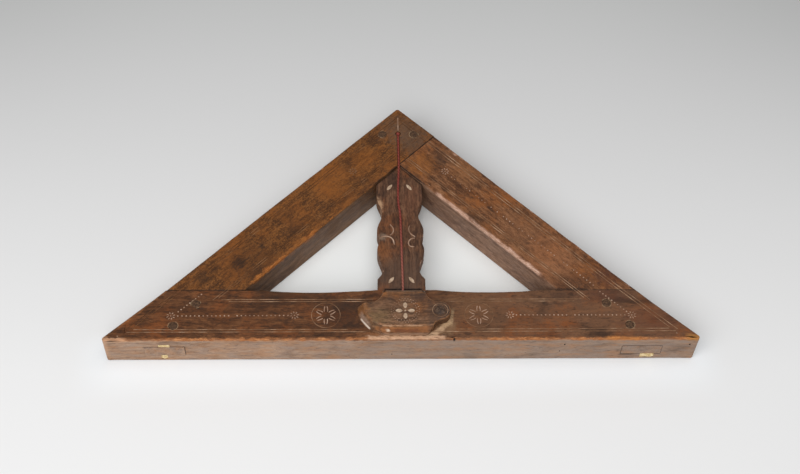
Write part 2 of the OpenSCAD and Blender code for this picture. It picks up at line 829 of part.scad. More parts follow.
base_bar();
left_rafter();
right_rafter();
plumb_board();
bob_cover();
cover_pivot();
apex_peg_left();
apex_peg_right();
left_foot_peg_upper();
left_foot_peg_lower();
right_foot_peg_upper();
right_foot_peg_lower();
left_slip_front();
left_slip_back();
right_slip_back();
board_leaf_upper_left();
board_leaf_upper_right();
board_leaf_lower_left();
board_leaf_lower_right();
cover_petal_right();
cover_petal_top();
cover_petal_left();
cover_petal_bottom();
cover_flower_eye();
cord_knot();
cord_upper();
cord_lower();
plumb_bob();
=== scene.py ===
import math
import random

import bmesh
import bpy
from mathutils import Matrix, Vector, noise


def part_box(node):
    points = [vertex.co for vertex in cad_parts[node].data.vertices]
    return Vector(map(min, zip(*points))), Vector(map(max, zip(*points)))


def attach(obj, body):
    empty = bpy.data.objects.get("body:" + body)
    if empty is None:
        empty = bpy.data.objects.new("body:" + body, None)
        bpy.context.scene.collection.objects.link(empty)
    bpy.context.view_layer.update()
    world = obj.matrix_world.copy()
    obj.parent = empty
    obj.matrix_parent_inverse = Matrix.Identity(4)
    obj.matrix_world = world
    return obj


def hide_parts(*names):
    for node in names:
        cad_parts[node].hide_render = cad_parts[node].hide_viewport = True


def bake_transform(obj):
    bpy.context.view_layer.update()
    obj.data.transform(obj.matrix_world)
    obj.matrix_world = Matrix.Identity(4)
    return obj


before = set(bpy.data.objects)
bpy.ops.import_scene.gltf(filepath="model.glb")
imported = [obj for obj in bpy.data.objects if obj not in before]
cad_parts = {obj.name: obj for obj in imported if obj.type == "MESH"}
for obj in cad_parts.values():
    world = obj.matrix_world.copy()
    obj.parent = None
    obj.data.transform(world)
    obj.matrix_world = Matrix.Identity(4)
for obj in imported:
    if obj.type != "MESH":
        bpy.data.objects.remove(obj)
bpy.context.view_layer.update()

# Sizes below are millimetres from the middle of the sole's back edge: across, up to the apex, out of the face
SOLE_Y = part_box("base_bar")[0].y
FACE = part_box("base_bar")[1].z * 1000
BOARD_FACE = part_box("plumb_board")[1].z * 1000
HALF_RUN = 239.5
LIP = 175.86
POCKET = (0, 25.6)
PIVOT = (30.3, 23.0)
FLOWER = (2.1, 22.7)
COVER_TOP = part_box("bob_cover")[1].z * 1000
PEG_NODES = ("apex_peg_left", "apex_peg_right", "left_foot_peg_upper", "left_foot_peg_lower",
    "right_foot_peg_upper", "right_foot_peg_lower")


def at(x, y, z):
    return Vector((x / 1000, SOLE_Y + y / 1000, z / 1000))


def in_mm(point):
    return Vector((point.x * 1000, (point.y - SOLE_Y) * 1000, point.z * 1000))


def across_and_up(node):
    middle = in_mm((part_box(node)[0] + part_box(node)[1]) / 2)
    return middle.x, middle.y


PEGS = {node: across_and_up(node) for node in PEG_NODES}


def placed(name, data):
    made = bpy.data.objects.new(name, data)
    bpy.context.scene.collection.objects.link(made)
    return made


# ---- camera

camera_data = bpy.data.cameras.new("level_camera")
camera_data.sensor_width = 36
camera_data.lens = 63.456
camera_data.clip_start = 0.01
camera_data.clip_end = 20
camera = bpy.data.objects.new("level_camera", camera_data)
camera.location = at(-40.85, -569.74, 1009.83)
camera.rotation_euler = (0.600527, -0.027713, -0.019824)
bpy.context.scene.collection.objects.link(camera)
bpy.context.scene.camera = camera

# ---- plumb cord: across, up from the sole, down from the face

UPPER_ROUTE = [[0, y, 0.8] for y in (208.5, 203.5, 198.5, 193.5, 188.5, 183.5, 179.5, 176)]
LOWER_ROUTE = [[0, 175.7, 0.8], [-0.2, 170, 0.8], [-0.5, 163, 0.8], [-0.9, 157, 0.8], [-1.1, 151, 0.8],
    [-1.2, 145, 0.8], [-1.2, 139, 0.8], [-0.9, 133, 0.8], [-0.1, 127, 0.8], [0.3, 121, 0.8],
    [0.4, 115, 0.8], [0.5, 109, 0.8], [0.5, 103, 0.8], [0.6, 97, 0.8], [0.7, 91, 0.8], [0.7, 85, 0.8],
    [0.7, 79, 0.8], [0.8, 73, 0.8], [0.9, 67, 0.8], [0.9, 61, 0.8], [1, 55, 0.8], [1, 51, 0.8],
    [1, 48.6, 0.9], [0.9, 46.4, 1.6], [0.8, 44.2, 2.6], [0.6, 42, 3.6], [0.4, 40, 4.5], [0.2, 38.3, 5.5],
    [0, 36.8, 6.2], [0, 35.5, 6.2]]
CORD_D = 1.9
CORD_PITCH = 3.4
CORD_SIDES = 14


def smooth_route(points, step):
    """Points every step or so along a smooth curve through the given points."""
    line = []
    last = len(points) - 1
    for i in range(last):
        a, b, c, d = (points[max(i - 1, 0)], points[i], points[i + 1], points[min(i + 2, last)])
        count = max(1, round((c - b).length / step))
        for k in range(count):
            t = k / count
            line.append(0.5 * (2 * b + (c - a) * t + (2 * a - 5 * b + 4 * c - d) * t ** 2
                + (3 * b - a - 3 * c + d) * t ** 3))
    return line + [points[last]]


def twisted_cord(name, route):
    """A two-ply cord: a tube whose section has a valley on each side that turns along it."""
    points, faces, valleys = [], [], []
    run = 0
    for i, here in enumerate(route):
        along = (route[min(i + 1, len(route) - 1)] - route[max(i - 1, 0)]).normalized()
        across = along.cross(Vector((0, 0, 1))).normalized()
        rise = across.cross(along)
        if i:
            run += (here - route[i - 1]).length
        for k in range(CORD_SIDES):
            turn = math.tau * k / CORD_SIDES
            ply = abs(math.cos(turn - math.pi * run / (CORD_PITCH / 1000)))
            swell = 0.84 + 0.16 * ply ** 0.6
            points.append(here + (math.cos(turn) * across + math.sin(turn) * rise) * CORD_D / 2000 * swell)
            valleys.append(1 - ply)
    for i in range(len(route) - 1):
        for k in range(CORD_SIDES):
            low, next_k = i * CORD_SIDES, (k + 1) % CORD_SIDES
            faces.append((low + k, low + CORD_SIDES + k, low + CORD_SIDES + next_k, low + next_k))
    faces.append(tuple(range(CORD_SIDES)))
    faces.append(tuple((len(route) - 1) * CORD_SIDES + k for k in reversed(range(CORD_SIDES))))
    mesh = bpy.data.meshes.new(name)
    mesh.from_pydata(points, [], faces)
    mesh.attributes.new("valley", "FLOAT", "POINT").data.foreach_set("value", valleys)
    mesh.shade_smooth()
    piece = placed(name, mesh)
    return piece


cord_route = smooth_route([at(x, y, FACE - down) for x, y, down in UPPER_ROUTE + LOWER_ROUTE], 0.0004)
plumb_cord = twisted_cord("plumb_cord", cord_route)
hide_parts("cord_upper", "cord_lower")
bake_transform(plumb_cord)

# ---- node helpers


def tint(red, green, blue):
    """A colour written as on a screen, 0 to 255, in the form that the sockets take."""
    linear = [(v / 255 / 12.92) if v < 10.3 else ((v / 255 + 0.055) / 1.055) ** 2.4 for v in (red, green, blue)]
    return (*linear, 1)


def put(tree, kind, feeds=None, **settings):
    """Adds a node, sets it up, and feeds its sockets with values or with other nodes' outputs."""
    made = tree.nodes.new("ShaderNode" + kind)
    for name, value in settings.items():
        setattr(made, name, value)
    for socket, value in (feeds or {}).items():
        if isinstance(value, bpy.types.NodeSocket):
            tree.links.new(value, made.inputs[socket])
        else:
            made.inputs[socket].default_value = value
    return made


def sums(tree, operation, a, b=0.0, clamp=False):
    return put(tree, "Math", {0: a, 1: b}, operation=operation, use_clamp=clamp).outputs[0]


def times(tree, a, b):
    return sums(tree, "MULTIPLY", a, b)


def plus(tree, a, b):
    return sums(tree, "ADD", a, b)


def minus(tree, a, b):
    return sums(tree, "SUBTRACT", a, b)


def vectors(tree, operation, a, b=(0, 0, 0)):
    return put(tree, "VectorMath", {0: a, 1: b}, operation=operation).outputs[0]


def scaled(tree, vector, factors):
    return vectors(tree, "MULTIPLY", vector, factors)


def noise_at(tree, vector, scale, detail=3.0, roughness=0.55, distortion=0.0):
    feeds = {"Vector": vector, "Scale": scale, "Detail": detail, "Roughness": roughness, "Distortion": distortion}
    return put(tree, "TexNoise", feeds).outputs["Fac"]


def between(tree, value, low, high, to_low=0.0, to_high=1.0):
    feeds = {"Value": value, "From Min": low, "From Max": high, "To Min": to_low, "To Max": to_high}
    return put(tree, "MapRange", feeds, interpolation_type="SMOOTHSTEP").outputs["Result"]


def mixed(tree, factor, a, b, blend="MIX"):
    return put(tree, "Mix", {0: factor, 6: a, 7: b}, data_type="RGBA", blend_type=blend).outputs[2]


def shades(tree, factor, stops):
    ramp = put(tree, "ValToRGB", {"Fac": factor})
    bar = ramp.color_ramp.elements
    while len(bar) < len(stops):
        bar.new(0.5)
    for point, (place, shade) in zip(bar, stops):
        point.position = place
        point.color = shade
    return ramp.outputs["Color"]


def new_group(name, takes, gives):
    tree = bpy.data.node_groups.new(name, "ShaderNodeTree")
    for label, kind, value in takes:
        socket = tree.interface.new_socket(label, in_out="INPUT", socket_type="NodeSocket" + kind)
        socket.default_value = value
    for label in gives:
        tree.interface.new_socket(label, in_out="OUTPUT", socket_type="NodeSocketFloat")
    start = tree.nodes.new("NodeGroupInput")
    end = tree.nodes.new("NodeGroupOutput")
    return tree, start.outputs, end.inputs


def use(tree, group, feeds):
    return put(tree, "Group", feeds, node_tree=group).outputs


# ---- shared effects, on vectors in millimetres


def grain_effect():
    """Walnut with its fibres along X: broad tone, fine fibres, and short dark pores."""
    tree, takes, gives = new_group("walnut_grain", [("Vector", "Vector", (0, 0, 0)), ("Seed", "Float", 0.0)],
        ["Tone", "Fibre", "Pores"])
    offset = put(tree, "CombineXYZ", {0: times(tree, takes["Seed"], 137.0),
        1: times(tree, takes["Seed"], 61.0), 2: times(tree, takes["Seed"], 23.0)}).outputs[0]
    place = vectors(tree, "ADD", takes["Vector"], offset)
    sway = times(tree, minus(tree, noise_at(tree, place, 0.013, 2.0), 0.5), 26.0)
    swayed = vectors(tree, "ADD", place, put(tree, "CombineXYZ", {1: sway, 2: sway}).outputs[0])
    rings = noise_at(tree, scaled(tree, swayed, (0.035, 1, 1)), 0.23, 4.0, 0.6, 0.5)
    streaks = noise_at(tree, scaled(tree, swayed, (0.03, 1, 1)), 0.9, 3.0, 0.6)
    tone = plus(tree, times(tree, rings, 0.62), times(tree, streaks, 0.38))
    tree.links.new(between(tree, tone, 0.33, 0.67), gives["Tone"])
    fibres = noise_at(tree, scaled(tree, swayed, (0.05, 1, 1)), 2.6, 2.0, 0.7)
    tree.links.new(between(tree, fibres, 0.3, 0.7), gives["Fibre"])
    pores = noise_at(tree, scaled(tree, swayed, (0.13, 1, 1)), 1.5, 1.0, 0.5)
    tree.links.new(between(tree, pores, 0.63, 0.72), gives["Pores"])
    return tree


def patina_effect():
    """Uneven patches of a given size; Cover is the noise level at which they begin."""
    tree, takes, gives = new_group("patina", [("Vector", "Vector", (0, 0, 0)), ("Size", "Float", 20.0),
        ("Cover", "Float", 0.5), ("Soft", "Float", 0.1)], ["Mask"])
    scale = sums(tree, "DIVIDE", 1.0, takes["Size"])
    patch = noise_at(tree, takes["Vector"], scale, 5.0, 0.62, 0.4)
    low = minus(tree, takes["Cover"], takes["Soft"])
    high = plus(tree, takes["Cover"], takes["Soft"])
    tree.links.new(between(tree, patch, low, high), gives["Mask"])
    return tree


def arris_effect():
    """A ragged band beside a straight line, within its reach on both sides of a point on it: worn arrises, and also
    painted shade, sheen and highlights.
    """
    tree, takes, gives = new_group("ragged_band", [("Vector", "Vector", (0, 0, 0)), ("Bite", "Float", 0.5),
        ("Point", "Vector", (0, 0, 0)), ("Along", "Vector", (1, 0, 0)), ("Reach", "Float", 300.0),
        ("Width", "Float", 3.0), ("Ragged", "Float", 3.0)], ["Mask"])
    from_point = vectors(tree, "SUBTRACT", takes["Vector"], takes["Point"])
    away = vectors(tree, "CROSS_PRODUCT", from_point, takes["Along"])
    distance = put(tree, "VectorMath", {0: away}, operation="LENGTH").outputs["Value"]
    bite = times(tree, minus(tree, takes["Bite"], 0.5), takes["Ragged"])
    frayed = plus(tree, distance, times(tree, bite, 3.0))
    inner = times(tree, takes["Width"], 0.4)
    beside = between(tree, frayed, takes["Width"], inner)
    run = put(tree, "VectorMath", {0: from_point, 1: takes["Along"]}, operation="DOT_PRODUCT").outputs["Value"]
    left = minus(tree, takes["Reach"], sums(tree, "ABSOLUTE", run))
    left = plus(tree, left, times(tree, bite, 6.0))
    fade = times(tree, takes["Width"], 1.5)
    tree.links.new(times(tree, beside, between(tree, left, -0.5, fade)), gives["Mask"])
    return tree


def spot_effect():
    """A soft round or long spot: a knot or patch in the wood, and also painted light and shade."""
    tree, takes, gives = new_group("dark_spot", [("Vector", "Vector", (0, 0, 0)), ("Centre", "Vector", (0, 0, 0)),
        ("Stretch", "Vector", (1, 1, 1)), ("Radius", "Float", 5.0)], ["Mask"])
    away = scaled(tree, vectors(tree, "SUBTRACT", takes["Vector"], takes["Centre"]), takes["Stretch"])
    distance = put(tree, "VectorMath", {0: away}, operation="LENGTH").outputs["Value"]
    bite = minus(tree, noise_at(tree, takes["Vector"], 0.25, 4.0, 0.65), 0.5)
    bite = times(tree, bite, times(tree, takes["Radius"], 1.6))
    inner = times(tree, takes["Radius"], 0.25)
    tree.links.new(between(tree, plus(tree, distance, bite), takes["Radius"], inner), gives["Mask"])
    return tree


def ring_effect():
    """A broken ring at a given distance from a point, such as the dust round a peg."""
    tree, takes, gives = new_group("broken_ring", [("Vector", "Vector", (0, 0, 0)), ("Centre", "Vector", (0, 0, 0)),
        ("Radius", "Float", 4.0), ("Width", "Float", 0.5)], ["Mask"])
    distance = put(tree, "VectorMath", {0: takes["Vector"], 1: takes["Centre"]}, operation="DISTANCE")
    off = sums(tree, "ABSOLUTE", minus(tree, distance.outputs["Value"], takes["Radius"]))
    whole = between(tree, noise_at(tree, takes["Vector"], 0.22, 2.0), 0.44, 0.56)
    ring = between(tree, off, takes["Width"], times(tree, takes["Width"], 0.3))
    tree.links.new(times(tree, ring, whole), gives["Mask"])
    return tree


walnut_grain = grain_effect()
patina = patina_effect()
ragged_band = arris_effect()
soft_spot = spot_effect()
broken_ring = ring_effect()

# ---- finishes


def new_finish(name):
    finish = bpy.data.materials.new(name)
    finish.use_nodes = True
    tree = finish.node_tree
    return finish, tree, tree.nodes["Principled BSDF"]


def place_in_mm(tree, turn=0.0):
    """Object coordinates in millimetres from the sole's middle, turned so that the wood's fibres run along X."""
    coordinates = put(tree, "TexCoord")
    raised = put(tree, "Mapping", {"Vector": coordinates.outputs["Object"],
        "Location": (0, -SOLE_Y * 1000, 0), "Scale": (1000, 1000, 1000)}).outputs[0]
    turned = put(tree, "Mapping", {"Vector": raised, "Rotation": (0, 0, -turn)}).outputs[0]
    return raised, turned, coordinates.outputs["Normal"]


# The sole's palette, paler than the faces: partly the sole's own smooth, greyish wood, partly painted light on this
# front face.
SOLE = (tint(136, 106, 84), tint(164, 131, 106), tint(184, 151, 125))
ORANGE_ARRIS = (tint(112, 64, 30), tint(166, 102, 54), tint(206, 148, 98))
PALE_ARRIS = (tint(140, 102, 78), tint(194, 152, 128), tint(222, 190, 172))
DUST = tint(150, 124, 96)
# Near black: dark joints and knots, and also painted shade in gaps, a hole and a recess.
NEAR_BLACK_AND_SHADE = tint(30, 20, 14)
PALE = tint(214, 190, 166)


def worn_walnut(name, turn, seed, face, side, blotch, arris, arrises=(), spots=(), marks=(), rings=(),
        orange=None, orange_cover=0.6, gloss=0.44, rubbed=0.0, shift=None, dull_side=0.0, speckle=0.0):
    """Old waxed walnut. face and side are three shades each, from dark to light; lengths are millimetres.

    arrises are lines of worn wood, the right rafter's inner one partly a painted highlight: point, direction, reach,
    width, raggedness, strength. marks are such lines with a shade first, on top of all else: worn patches, chips and
    dark joints, and also painted shadows, shade, sheen and highlights. spots are centre, stretch, radius, shade,
    strength, a few of them painted light and shade. rings are the pegs with dust round them.
    shift is a shade that takes over from the left to the right. rubbed wears the piece all over. dull_side takes
    the polish off the sides. speckle is how strongly the face is peppered.
    """
    finish, tree, shader = new_finish(name)
    place, along, normal = place_in_mm(tree, turn)
    grain = use(tree, walnut_grain, {"Vector": along, "Seed": seed})
    facing = put(tree, "SeparateXYZ", {0: normal}).outputs["Z"]
    # Side faces take palettes of their own, set piece by piece: partly the sides' own wood, partly painted light,
    # lighter where a side faced the light and darker where it lay in shade.
    is_side = between(tree, sums(tree, "ABSOLUTE", facing), 0.85, 0.35)
    reach = put(tree, "SeparateXYZ", {0: place}).outputs
    at_sole = times(tree, is_side, between(tree, reach["Y"], 4.0, 0.4))
    mottle = noise_at(tree, scaled(tree, along, (0.4, 1, 1)), 0.42, 5.0, 0.7)
    tone = plus(tree, times(tree, grain["Tone"], 0.46), times(tree, grain["Fibre"], 0.2))
    tone = plus(tree, tone, times(tree, between(tree, mottle, 0.3, 0.7), 0.34))
    pepper = times(tree, between(tree, noise_at(tree, place, 0.8, 2.0, 0.6), 0.3, 0.7, -0.5, 0.5), speckle)
    on_face = shades(tree, plus(tree, tone, pepper), [(0.22, face[0]), (0.5, face[1]), (0.78, face[2])])
    on_side = shades(tree, tone, [(0.18, side[0]), (0.5, side[1]), (0.82, side[2])])
    if shift:
        to_right = between(tree, reach["X"], -40.0, 110.0, 0.0, 0.5)
        on_face = mixed(tree, to_right, on_face, shift)
    calm = plus(tree, times(tree, tone, 0.55),
        times(tree, noise_at(tree, scaled(tree, along, (0.5, 1, 1)), 0.05, 3.0, 0.6), 0.45))
    on_sole = shades(tree, calm, [(0.3, SOLE[0]), (0.5, SOLE[1]), (0.7, SOLE[2])])
    on_sole = mixed(tree, between(tree, reach["X"], -120.0, 0.0, 0.0, 0.42), on_sole, tint(132, 114, 101))
    warm = noise_at(tree, scaled(tree, along, (0.3, 1, 1)), 0.16, 4.0, 0.65)
    on_sole = mixed(tree, between(tree, warm, 0.5, 0.62, 0.0, 0.5), on_sole, tint(170, 122, 84))
    on_sole = mixed(tree, between(tree, warm, 0.5, 0.38, 0.0, 0.4), on_sole, tint(150, 134, 124))
    on_side = mixed(tree, at_sole, on_side, on_sole)
    if orange:
        glow = use(tree, patina, {"Vector": along, "Size": 26.0, "Cover": orange_cover, "Soft": 0.13})["Mask"]
        glow = times(tree, glow, between(tree, mottle, 0.35, 0.65, 0.25, 0.95))
        on_face = mixed(tree, glow, on_face, orange)
    stretched = scaled(tree, along, (0.45, 1, 1))
    large = use(tree, patina, {"Vector": stretched, "Size": 15.0, "Cover": 0.6, "Soft": 0.1})["Mask"]
    small = use(tree, patina, {"Vector": stretched, "Size": 3.6, "Cover": 0.63, "Soft": 0.06})["Mask"]
    dark = sums(tree, "MAXIMUM", times(tree, large, 0.7), times(tree, small, 0.62))
    on_face = mixed(tree, dark, on_face, blotch)
    on_side = mixed(tree, times(tree, large, 0.25), on_side, blotch)
    broken = between(tree, plus(tree, times(tree, mottle, 0.6), times(tree, grain["Fibre"], 0.4)),
        0.3, 0.6, 0.4, 1.0)
    for centre, stretch, radius, shade, strength in spots:
        spot = use(tree, soft_spot, {"Vector": place, "Centre": centre, "Stretch": stretch, "Radius": radius})["Mask"]
        on_face = mixed(tree, times(tree, times(tree, spot, broken), strength), on_face, shade)
    for node in rings:
        ring = use(tree, broken_ring, {"Vector": place, "Centre": (*PEGS[node], FACE), "Radius": 4.0, "Width": 0.55})
        on_face = mixed(tree, times(tree, ring["Mask"], 0.7), on_face, DUST)
    wood = mixed(tree, is_side, on_face, on_side)
    wood = mixed(tree, times(tree, grain["Pores"], 0.5), wood, tint(36, 24, 16))
    bite = noise_at(tree, place, 0.13, 6.0, 0.7)
    patchy = between(tree, noise_at(tree, place, 0.045, 4.0, 0.65), 0.38, 0.56, 0.3, 1.0)
    wear_and_highlight = None
    for point, direction, length, width, ragged, strength in arrises:
        mask = use(tree, ragged_band, {"Vector": place, "Bite": bite, "Point": point, "Along": direction,
            "Reach": length, "Width": width, "Ragged": ragged})["Mask"]
        mask = times(tree, times(tree, mask, patchy), strength)
        wear_and_highlight = mask if wear_and_highlight is None else sums(tree, "MAXIMUM", wear_and_highlight, mask)
    if rubbed:
        mask = between(tree, bite, 0.62 - 0.3 * rubbed, 0.72 - 0.3 * rubbed)
        wear_and_highlight = mask if wear_and_highlight is None else sums(tree, "MAXIMUM", wear_and_highlight, mask)
    # The arris palette over worn wood; on the right rafter's inner arris it is also a painted highlight.
    if wear_and_highlight is not None:
        bare_wood_and_highlight = shades(tree, plus(tree, times(tree, grain["Fibre"], 0.5), times(tree, mottle, 0.5)),
            [(0.2, arris[0]), (0.5, arris[1]), (0.8, arris[2])])
        wood = mixed(tree, wear_and_highlight, wood, bare_wood_and_highlight)
    # Marks go on last: worn patches, chips and dark joints, and also painted shadows, shade, sheen and highlights.
    for shade, point, direction, length, width, ragged, strength in marks:
        mask = use(tree, ragged_band, {"Vector": place, "Bite": bite, "Point": point, "Along": direction,
            "Reach": length, "Width": width, "Ragged": ragged})["Mask"]
        if width > 1.5:
            mask = times(tree, mask, broken)
        wood = mixed(tree, times(tree, mask, strength), wood, shade)
    tree.links.new(wood, shader.inputs["Base Color"])
    dullness = between(tree, noise_at(tree, along, 0.05, 4.0), 0.3, 0.7, gloss - 0.07, gloss + 0.13)
    dullness = plus(tree, dullness, times(tree, dark, 0.12))
    dullness = plus(tree, dullness, times(tree, is_side, dull_side))
    tree.links.new(dullness, shader.inputs["Roughness"])
    relief = minus(tree, times(tree, grain["Fibre"], 0.35), grain["Pores"])
    relief = minus(tree, relief, times(tree, small, 1.1))
    relief = plus(tree, relief, times(tree, mottle, 1.6))
    planed = times(tree, noise_at(tree, scaled(tree, along, (0.3, 1, 1)), 0.06, 2.0), 9.0)
    relief = plus(tree, relief, planed)
    bump = put(tree, "Bump", {"Strength": 0.6, "Distance": 0.00017, "Height": relief})
    tree.links.new(bump.outputs[0], shader.inputs["Normal"])
    shader.inputs["Specular IOR Level"].default_value = 0.175
    shader.inputs["Coat Weight"].default_value = 0.03
    shader.inputs["Coat Roughness"].default_value = 0.3
    return finish


def face_and_edge(name, *shades_of, rubbed, **details):
    """A wood's finish, and the finish of its rounded arrises."""
    return (worn_walnut(name, *shades_of, **details),
        worn_walnut(name + "_arris", *shades_of, rubbed=rubbed, **details))


DOWN_RIGHT = (0.70711, -0.70711, 0)
UP_RIGHT = (0.70711, 0.70711, 0)
ACROSS = (1, 0, 0)
OUT = (0, 0, 1)
MID_RUN = HALF_RUN / 2

bar_finishes = face_and_edge("bar_walnut", 0.0, 1.0,
    (tint(60, 35, 17), tint(89, 54, 30), tint(116, 75, 45)),
    (tint(106, 78, 58), tint(132, 102, 79), tint(156, 124, 99)),
    tint(40, 25, 16), ORANGE_ARRIS, rubbed=0.12,
    arrises=[((0, 0, FACE), ACROSS, 300, 2.5, 2.4, 0.95), ((0, 0, 0), ACROSS, 300, 1.2, 1.0, 0.4),
        ((-MID_RUN, MID_RUN, FACE), UP_RIGHT, 400, 1.3, 2.0, 0.3)],
    # The two dark spots left of the cover: partly dark smudges in the wood, partly painted shade round the cover.
    spots=[((-47, 24, FACE), (0.6, 0.75, 1.0), 17.0, tint(38, 25, 17), 0.75),
        ((-30, 33, FACE), (0.45, 0.8, 1.0), 9.0, tint(42, 28, 19), 0.6),
        ((34, 12, FACE), (0.85, 0.9, 1.0), 11.0, tint(134, 104, 76), 0.7),
        ((132, 42, FACE), (0.5, 1.0, 1.0), 9.0, tint(56, 38, 28), 0.6), ((170, 42, FACE), (0.4, 0.9, 1.0), 11.0,
        tint(76, 44, 32), 0.65),
        ((205, 18, FACE), (0.3, 0.6, 1.0), 12.0, tint(100, 56, 36), 0.5),
        ((-22, 3, FACE), (0.3, 1.0, 1.0), 6.0, tint(150, 104, 70), 0.5),
        ((-4, 2.6, FACE), (0.2, 1.0, 1.0), 4.6, tint(186, 140, 104), 0.8),
        ((-90, 42, FACE), (0.25, 0.8, 1.0), 10.0, tint(46, 29, 18), 0.55),
        ((52, 30, FACE), (0.4, 0.8, 1.0), 14.0, tint(120, 84, 56), 0.45)],
    marks=[(NEAR_BLACK_AND_SHADE, (-156, 47, FACE), ACROSS, 36, 0.9, 0.8, 0.7), (NEAR_BLACK_AND_SHADE, (140, 47, FACE), ACROSS, 15, 1.7, 1.6, 0.85),
        (NEAR_BLACK_AND_SHADE, (175, 47, FACE), ACROSS, 18, 0.7, 0.6, 0.45), (NEAR_BLACK_AND_SHADE, (0, 3.6, FACE), ACROSS, 230, 0.9, 3.4, 0.2),
        (NEAR_BLACK_AND_SHADE, (-192, 0, 21.2), ACROSS, 17, 0.7, 0.3, 0.8), (NEAR_BLACK_AND_SHADE, (-175.6, 0, 15.4), OUT, 6.2, 0.9, 0.2, 0.85),
        (NEAR_BLACK_AND_SHADE, (195, 0, 21.0), ACROSS, 16.4, 0.8, 0.5, 0.8), (NEAR_BLACK_AND_SHADE, (195, 0, 8.2), ACROSS, 16.4, 0.7, 0.4, 0.7),
        (NEAR_BLACK_AND_SHADE, (178.8, 0, 14.6), OUT, 6.6, 0.8, 0.4, 0.8), (NEAR_BLACK_AND_SHADE, (211.4, 0, 14.6), OUT, 6.6, 0.5, 0.2, 0.6),
        # Painted shadow in the recess beside the right slip.
        (tint(70, 54, 44), (175.5, 0, 13.5), ACROSS, 3.5, 3.0, 1.6, 0.6),
        (tint(192, 150, 118), (-239.4, 2.0, 20), OUT, 16, 5.0, 1.6, 0.9),
        (tint(208, 160, 124), (-231, 0.4, 31.4), ACROSS, 11, 3.0, 2.0, 0.7),
        (tint(184, 128, 62), (236, 1.6, 31.0), ACROSS, 9, 5.0, 3.0, 0.7),
        (tint(192, 124, 62), (178, 0.4, 31.6), ACROSS, 16, 3.0, 2.4, 0.6),
        (tint(168, 138, 104), (39.2, 21, FACE), (0.1, 0.995, 0), 10, 3.2, 1.0, 0.8),
        (tint(190, 156, 120), (34.6, 13.4, FACE), (0.75, 0.66, 0), 8, 3.0, 1.0, 0.85),
        (tint(200, 164, 130), (25.6, 6.0, FACE), (0.84, 0.54, 0), 10, 3.2, 1.4, 0.9),
        (tint(208, 166, 134), (2, 1.6, FACE), ACROSS, 34, 2.6, 2.4, 0.85),
        # Painted shadow: a dark line on the sole's arris below the cover.
        (tint(84, 48, 28), (0, 0.2, 30.9), ACROSS, 40, 0.7, 1.4, 0.6),
        # Painted shade: the nail hole's dark mouth on the sole, and the recess below the right slip.
        (NEAR_BLACK_AND_SHADE, (41.2, 0.5, 31.3), OUT, 2.6, 1.3, 0.1, 1.0), (NEAR_BLACK_AND_SHADE, (183, 0, 7.4), ACROSS, 7, 1.9, 0.8, 0.6),
        (tint(92, 74, 62), (226, 0, 16), ACROSS, 12, 9.0, 5.0, 0.4)],
    rings=("left_foot_peg_upper", "left_foot_peg_lower", "right_foot_peg_upper", "right_foot_peg_lower"),
    orange=tint(126, 70, 32), orange_cover=0.58, shift=tint(120, 86, 63))
left_rafter_finishes = face_and_edge("left_rafter_walnut", math.radians(45), 2.0,
    (tint(68, 39, 15), tint(99, 60, 26), tint(128, 81, 39)),
    (tint(80, 53, 34), tint(106, 75, 50), tint(130, 95, 66)),
    tint(57, 34, 18), (tint(92, 48, 20), tint(156, 90, 38), tint(206, 136, 68)), rubbed=0.18,
    arrises=[((-96, LIP - 96, FACE), UP_RIGHT, 40, 4.4, 6.0, 0.85), ((-48, LIP - 48, FACE), UP_RIGHT, 40, 1.2, 2.0,
    0.3)],
    spots=[((-134.5, 73.5, FACE), (0.8, 0.62, 1.0), 6.0, NEAR_BLACK_AND_SHADE, 0.95), ((-116, 90.5, FACE), (0.8, 0.8, 1.0), 3.0,
    NEAR_BLACK_AND_SHADE, 0.9),
        ((-163, 59, FACE), (0.7, 0.7, 1.0), 6.0, tint(52, 34, 20), 0.7),
        ((13, 204, FACE), (0.6, 0.6, 1.0), 15.0, tint(94, 70, 53), 0.85), ((-2, 216, FACE), (0.6, 0.6, 1.0), 13.0,
        tint(98, 73, 55), 0.7),
        ((-122, 76, FACE), (0.35, 0.35, 1.0), 11.0, tint(56, 34, 17), 0.5),
        ((-60, 158, FACE), (0.5, 0.5, 1.0), 12.0, tint(142, 84, 32), 0.45),
        ((-30, 182, FACE), (0.6, 0.6, 1.0), 12.0, tint(140, 82, 30), 0.45)],
    marks=[(NEAR_BLACK_AND_SHADE, (-156, 47, FACE), ACROSS, 36, 1.0, 1.0, 0.6), (NEAR_BLACK_AND_SHADE, (16, LIP + 16, FACE), UP_RIGHT, 24, 0.8, 0.5,
    0.85),
        (NEAR_BLACK_AND_SHADE, (-12, LIP - 12, FACE), UP_RIGHT, 16, 1.1, 1.0, 0.8)],
    rings=("apex_peg_left", "apex_peg_right"),
    orange=tint(130, 76, 31), orange_cover=0.52, speckle=0.5)
